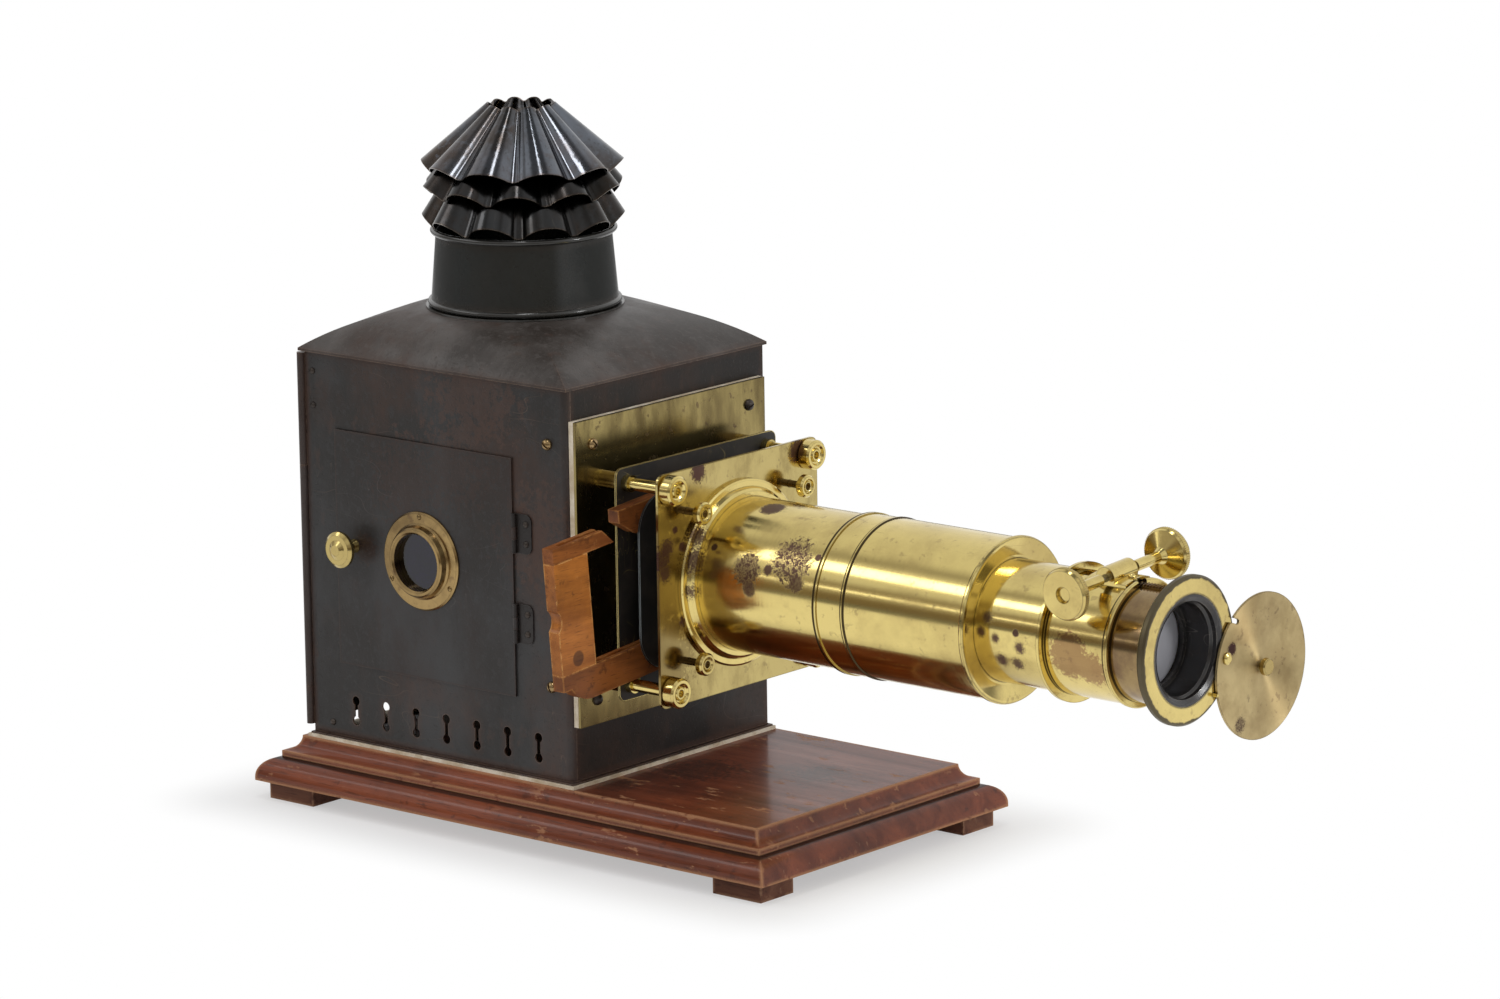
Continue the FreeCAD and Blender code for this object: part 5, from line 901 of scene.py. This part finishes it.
# %% [markdown]
# ## The small finishes
# Packing strips, black paint, plain steel, tinplate and wick cotton. None of them covers much, but a
# flat colour would show at once beside the rest. The stage plates are metal under black paint, and
# the paint has rubbed off along their edges, so there the metal share goes up with the worn mask.

# %% Packing, steel, tin, cotton
def plain(name, light, deep, scale, rough, metal=0.0, grain=500.0):
    """A quiet mottled finish for small parts."""
    made = Finish(name, metal=metal)
    patch = made.group(MOTTLE, scale=scale, low=0.35, high=0.65)
    edge = made.group(WORN, radius=0.0008, breaks=90.0, bite=0.6)
    fine = made.noise(grain)
    colour = made.mix(patch, light, deep)
    made.wire("Base Color", made.cover(colour, edge, 0.4, light))
    made.wire("Roughness", made.lift(rough - 0.1, fine, 0.2))
    made.bump(fine, 0.3, 0.0002)
    return made.material


packing = plain("packing_card", tone(232, 222, 204), tone(196, 178, 150), 60.0, 0.9, grain=900.0)
steel = plain("grey_steel", tone(150, 146, 140), tone(96, 90, 84), 80.0, 0.3, metal=1.0)
tin = plain("tinplate", tone(186, 184, 176), tone(128, 124, 116), 26.0, 0.34, metal=1.0)
cotton = plain("wick_cotton", tone(214, 206, 184), tone(120, 104, 80), 90.0, 0.95, grain=1500.0)
dress(packing, "base_packing", "front_packing")
dress(steel, "pressure_springs", "pinion_spindle")
dress(tin, "lamp_reservoir", "lamp_reflector")
dress(cotton, "lamp_wick")

# %% Black paint, rubbed through at the edges
PAINT_BLOOM = tone(44, 38, 34)


def black_paint(name, under, paint, rough, bite=0.9):
    """Paint over metal; the worn mask brings the metal out."""
    made = Finish(name)
    patch = made.group(MOTTLE, scale=40.0, low=0.4, high=0.7)
    edge = made.group(WORN, radius=0.0012, breaks=60.0, bite=bite)
    scratch = made.group(SCRATCH, scale=16.0, width=0.005)
    bare = made.calc("MAXIMUM", edge, made.calc("MULTIPLY", scratch, 0.6))
    colour = made.mix(patch, paint, PAINT_BLOOM)
    made.wire("Base Color", made.mix(bare, colour, under))
    made.wire("Metallic", bare)
    made.wire("Roughness", made.lift(rough, bare, -0.2))
    made.bump(made.noise(300.0), 0.2, 0.0002)
    return made.material


blacked_brass = black_paint("blacked_brass", CLEAN_BRASS, tone(24, 22, 20), 0.55)
blued_steel = black_paint("blued_steel", tone(150, 158, 160), tone(20, 20, 21), 0.6)
lens_black = black_paint("lens_black", tone(120, 116, 110), tone(38, 37, 38), 0.25, bite=0.5)
dress(blacked_brass, "stage_plate")
dress(blued_steel, "pressure_plate")
dress(lens_black, "lens_cell")

# %% [markdown]
# ## Glass, clear and blue
# The condenser and the slide are clear. The window in the door is deep blue, so that one can look at
# the flame without being dazzled. The lenses of the objective are old and not quite clear, so only a
# share of their light passes and the rest goes into a grey body; that grey is partly haze and partly a
# painted reflection of the grey surroundings. A faint smear in the gloss keeps clear glass from vanishing.

# %% Glass
def glass(name, tint, smear, smooth=0.0, clear=1.0):
    """Glass with a faint smear in its gloss; clear is the share of light that passes."""
    made = Finish(name, Transmission_Weight=clear, IOR=1.5)
    haze = made.group(MOTTLE, scale=40.0, low=0.4, high=0.8)
    made.wire("Base Color", made.cover(tint, haze, 0.4, smear))
    made.wire("Roughness", made.lift(smooth, haze, 0.04))
    return made.material


lens_glass = glass("lens_glass", (0.96, 0.97, 0.98, 1), (0.85, 0.86, 0.88, 1))
# The grey body of the objective's lenses is partly haze and partly a painted reflection of the surroundings.
lens_haze_and_reflection = glass("lens_glass_haze_and_reflection", (0.5, 0.5, 0.54, 1), (0.4, 0.4, 0.43, 1), clear=0.3)
blue_glass = glass("blue_glass", tone(58, 38, 116), tone(44, 28, 84), smooth=0.02)
dress(lens_glass, "condenser_lenses", "glass_slide")
dress(lens_haze_and_reflection, "objective_lenses")
dress(blue_glass, "window_glass")

# %% [markdown]
# ## Screws and rivets
# Screw heads repeat, so Geometry Nodes make them. A sphere is flattened and halved into a dome, a bar
# cuts the slot, and the finished head is put on every point of a small mesh, turned by an attribute
# of that point. A slot depth of zero gives a rivet. The result is kept as a plain mesh, because other
# programs do not read instances.

# %% Helpers for geometry trees
def sockets_of(tree, sizes):
    """Gives a tree a geometry input, named sizes, a finish and a geometry output."""
    face = tree.interface
    face.new_socket("Points", in_out="INPUT", socket_type="NodeSocketGeometry")
    for label, value in sizes:
        kind = "NodeSocketInt" if isinstance(value, int) else "NodeSocketFloat"
        face.new_socket(label, in_out="INPUT", socket_type=kind).default_value = value
    face.new_socket("Finish", in_out="INPUT", socket_type="NodeSocketMaterial")
    face.new_socket("Result", in_out="OUTPUT", socket_type="NodeSocketGeometry")
    return tree.nodes.new("NodeGroupInput").outputs, tree.nodes.new("NodeGroupOutput").inputs


def vector(tree, x=0.0, y=0.0, z=0.0):
    """Three numbers as one vector."""
    return add(tree, "ShaderNodeCombineXYZ", {0: x, 1: y, 2: z}).outputs[0]


def shift(tree, shape, **change):
    """A shape after a Scale or a Translation."""
    return add(tree, "GeometryNodeTransform", {"Geometry": shape, **change}).outputs[0]


def carve(tree, shape, tool):
    """A shape with another one cut away."""
    wires = {"Mesh 1": shape, "Mesh 2": tool}
    return add(tree, "GeometryNodeMeshBoolean", wires, operation="DIFFERENCE").outputs[0]


def settle(tree, given, leave, shape):
    """Puts a shape on every point, realizes the copies and gives them their finish."""
    turn = add(tree, "GeometryNodeInputNamedAttribute", {"Name": "turn"}, data_type="FLOAT_VECTOR")
    wires = {"Points": given["Points"], "Instance": shape, "Rotation": turn.outputs[0]}
    copies = add(tree, "GeometryNodeInstanceOnPoints", wires).outputs[0]
    real = add(tree, "GeometryNodeRealizeInstances", {0: copies}).outputs[0]
    wires = {"Geometry": real, "Material": given["Finish"]}
    tree.links.new(add(tree, "GeometryNodeSetMaterial", wires).outputs[0], leave["Result"])


print("helpers for geometry trees ready")

# %% A node tree for slotted heads
def slotted_heads():
    """A domed head with a slot, put on every point."""
    tree = bpy.data.node_groups.new("SlottedHeads", "GeometryNodeTree")
    sizes = [("Head Radius", 0.004), ("Head Height", 0.0025),
             ("Slot Width", 0.001), ("Slot Depth", 0.0012)]
    given, leave = sockets_of(tree, sizes)
    wide = given["Head Radius"]
    tall = given["Head Height"]
    wires = {"Segments": 28, "Rings": 16, "Radius": 1.0}
    ball = add(tree, "GeometryNodeMeshUVSphere", wires).outputs[0]
    flat = shift(tree, ball, Scale=vector(tree, wide, wide, tall))
    room = calc(tree, "MULTIPLY", wide, 4.0)
    block = add(tree, "GeometryNodeMeshCube", {"Size": vector(tree, room, room, room)}).outputs[0]
    down = calc(tree, "MULTIPLY", wide, -2.0)
    under = shift(tree, block, Translation=vector(tree, z=down))
    deep = calc(tree, "MULTIPLY", given["Slot Depth"], 2.0)
    bar_size = vector(tree, given["Slot Width"], room, deep)
    bar = add(tree, "GeometryNodeMeshCube", {"Size": bar_size}).outputs[0]
    slot = shift(tree, bar, Translation=vector(tree, z=tall))
    settle(tree, given, leave, carve(tree, carve(tree, flat, under), slot))
    return tree


HEADS = slotted_heads()
print("tree:", HEADS.name, "nodes:", len(HEADS.nodes))

# %% [markdown]
# ## Running a tree
# One function takes points, the way each faces and a spin, runs a tree on them and keeps the outcome
# as a plain mesh that rides on one of the lantern's bodies.

# %% Grow pieces from points
SHARP_ANGLE = math.radians(35)


def grow(name, tree, rows, sizes, finish, body):
    """rows are place in millimetres, facing direction and spin in degrees."""
    seed = bpy.data.meshes.new(name + "_points")
    seed.from_pydata([Vector(place) / 1000 for place, _, _ in rows], [], [])
    turns = seed.attributes.new("turn", "FLOAT_VECTOR", "POINT")
    for index, (_, facing, spin) in enumerate(rows):
        turn = Vector(facing).to_track_quat("Z", "Y") @ Quaternion((0, 0, 1), math.radians(spin))
        turns.data[index].vector = turn.to_euler()
    holder = bpy.data.objects.new(name + "_holder", seed)
    bpy.context.scene.collection.objects.link(holder)
    nodes = holder.modifiers.new("grow", "NODES")
    nodes.node_group = tree
    values = dict(sizes, Finish=finish)
    for item in tree.interface.items_tree:
        if item.in_out == "INPUT" and item.name in values:
            nodes[item.identifier] = values[item.name]
    ready = bpy.context.evaluated_depsgraph_get()
    mesh = bpy.data.meshes.new_from_object(holder.evaluated_get(ready), depsgraph=ready)
    bpy.data.objects.remove(holder)
    piece = bpy.data.objects.new(name, mesh)
    bpy.context.scene.collection.objects.link(piece)
    mesh.set_sharp_from_angle(angle=SHARP_ANGLE)
    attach(piece, body)
    print(name, "faces:", len(mesh.polygons))
    return piece


print("edges over", round(math.degrees(SHARP_ANGLE)), "degrees stay sharp")

# %% The screws of the walls and the brass plate
NEAR = (0, -1, 0)
FAR = (0, 1, 0)
FRONT = (1, 0, 0)
PLATE_FACE = 46.9
PLATE_SCREW_OUT = 83
HIGH_SCREW = 286
LOW_PLATE_SCREW = 105.5
LOW_WALL_SCREW = 114.5
WALL_SCREW_PLACE = 23.2
WALL_FACES = ((-103.2, NEAR), (103.2, FAR))
ROUND_HEAD = {"Head Radius": 0.0042, "Head Height": 0.0036, "Slot Width": 0.0011, "Slot Depth": 0.0016}
iron_head = plain("iron_head", tone(74, 66, 60), tone(50, 44, 40), 60.0, 0.42, metal=0.6)
screw_brass = brass("screw_brass", clean=(0.36, 0.25, 0.12, 1), dull=(0.2, 0.13, 0.06, 1), film=0.6,
                    rough=0.2)
bright = [((PLATE_FACE, -PLATE_SCREW_OUT, HIGH_SCREW), FRONT, 35)]
for y, way in WALL_FACES:
    for z, spin in ((HIGH_SCREW, 50), (LOW_WALL_SCREW, 20)):
        bright.append(((WALL_SCREW_PLACE, y, z), way, spin))
dull = [((PLATE_FACE, PLATE_SCREW_OUT, HIGH_SCREW), FRONT, 110),
        ((PLATE_FACE, -PLATE_SCREW_OUT, LOW_PLATE_SCREW), FRONT, 75),
        ((PLATE_FACE, PLATE_SCREW_OUT, LOW_PLATE_SCREW), FRONT, 15)]
wall_screws = grow("wall_screws", HEADS, bright, ROUND_HEAD, screw_brass, "house")
grow("plate_screws", HEADS, dull, ROUND_HEAD, iron_head, "house")
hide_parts("wall_fasteners")

# %% Rivets on the walls and the hinges
REAR_RIVET_PLACE = -198.6
REAR_RIVETS = (311.5, 287.0)
LOW_RIVET_PLACE = -187.4
LOW_RIVET = 57.7
HINGE_FACE = -104.2
HINGE_RIVET_PLACE = 2.6
HINGE_RIVETS = (149, 163, 213, 227)
RIVET = {"Head Radius": 0.0024, "Head Height": 0.0016, "Slot Width": 0.0004, "Slot Depth": 0.0}
rivets = []
for y, way in WALL_FACES:
    rivets += [((REAR_RIVET_PLACE, y, z), way, 0) for z in REAR_RIVETS]
    rivets.append(((LOW_RIVET_PLACE, y, LOW_RIVET), way, 0))
rivets += [((HINGE_RIVET_PLACE, HINGE_FACE, z), NEAR, 0) for z in HINGE_RIVETS]
grow("wall_rivets", HEADS, rivets, RIVET, iron_head, "house")

# %% The screws of the bezel
WINDOW_PLACE = -95.6
WINDOW_HEIGHT = 188
BEZEL_CIRCLE = 31.8
BEZEL_FACE = -106.8
BEZEL_HEAD = {"Head Radius": 0.002, "Head Height": 0.0009, "Slot Width": 0.0006, "Slot Depth": 0.0005}
ring = []
for angle in (90, 210, 330):
    x = WINDOW_PLACE + BEZEL_CIRCLE * math.cos(math.radians(angle))
    z = WINDOW_HEIGHT + BEZEL_CIRCLE * math.sin(math.radians(angle))
    ring.append(((x, BEZEL_FACE, z), NEAR, angle + 20))
bezel_heads = grow("bezel_heads", HEADS, ring, BEZEL_HEAD, bronze, "side_door")
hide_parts("bezel_screws")

# %% [markdown]
# ## The coil springs
# Four coil springs push the pressure plate back against the slide. When the rods are pulled, the plate
# comes forward and the springs have to shorten between it and the objective plate. Here a copy of the
# coils, with its place baked into the mesh, stands in for the solid springs, which are hidden.

# %% Coil springs between the pressure plate and the house
coils = bpy.data.objects.new("coil_springs", solids["pressure_springs"].data.copy())
bpy.context.scene.collection.objects.link(coils)
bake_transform(coils)
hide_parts("pressure_springs")

# %% [markdown]
# ## Milled knobs
# The focusing knobs have a milled edge, so that fingers do not slip. Each ridge is a thin rod along
# the rim. One tree sets rods round a circle, and puts the whole ring on a point at each knob.

# %% A node tree for milled rims
def milled_rims():
    """A ring of thin rods, put on every point."""
    tree = bpy.data.node_groups.new("MilledRims", "GeometryNodeTree")
    sizes = [("Ridges", 72), ("Rim Radius", 0.0175), ("Ridge Radius", 0.0005), ("Ridge Length", 0.0036)]
    given, leave = sockets_of(tree, sizes)
    wires = {"Vertices": 8, "Radius": given["Ridge Radius"], "Depth": given["Ridge Length"]}
    rod = add(tree, "GeometryNodeMeshCylinder", wires).outputs[0]
    wires = {"Vertices": given["Ridges"], "Radius": given["Rim Radius"]}
    circle = add(tree, "GeometryNodeMeshCircle", wires).outputs[0]
    ridges = add(tree, "GeometryNodeInstanceOnPoints", {"Points": circle, "Instance": rod}).outputs[0]
    rim = add(tree, "GeometryNodeRealizeInstances", {0: ridges}).outputs[0]
    settle(tree, given, leave, rim)
    return tree


RIMS = milled_rims()
KNOB_RIM = 55.2
KNOB_SIZES = {"Ridges": 72, "Rim Radius": 0.01745, "Ridge Radius": 0.0005, "Ridge Length": 0.0036}
spindle = next(j for j in frame["record"]["behaviour"]["joints"] if j["name"] == "pinion_turn")
centre = Vector(spindle["pos_m"]) * 1000
along = Vector(spindle["axis"])
knob_rows = [(centre + along * KNOB_RIM * side, along, 0) for side in (1, -1)]
grow("knob_milling", RIMS, knob_rows, KNOB_SIZES, turned_brass, "pinion")

# %% Sizes and the end
boxes = {"cad": [list(corner) for corner in cad_box], "visual": [list(corner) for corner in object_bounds()]}
print("visual box:", [[round(v, 4) for v in corner] for corner in boxes["visual"]])
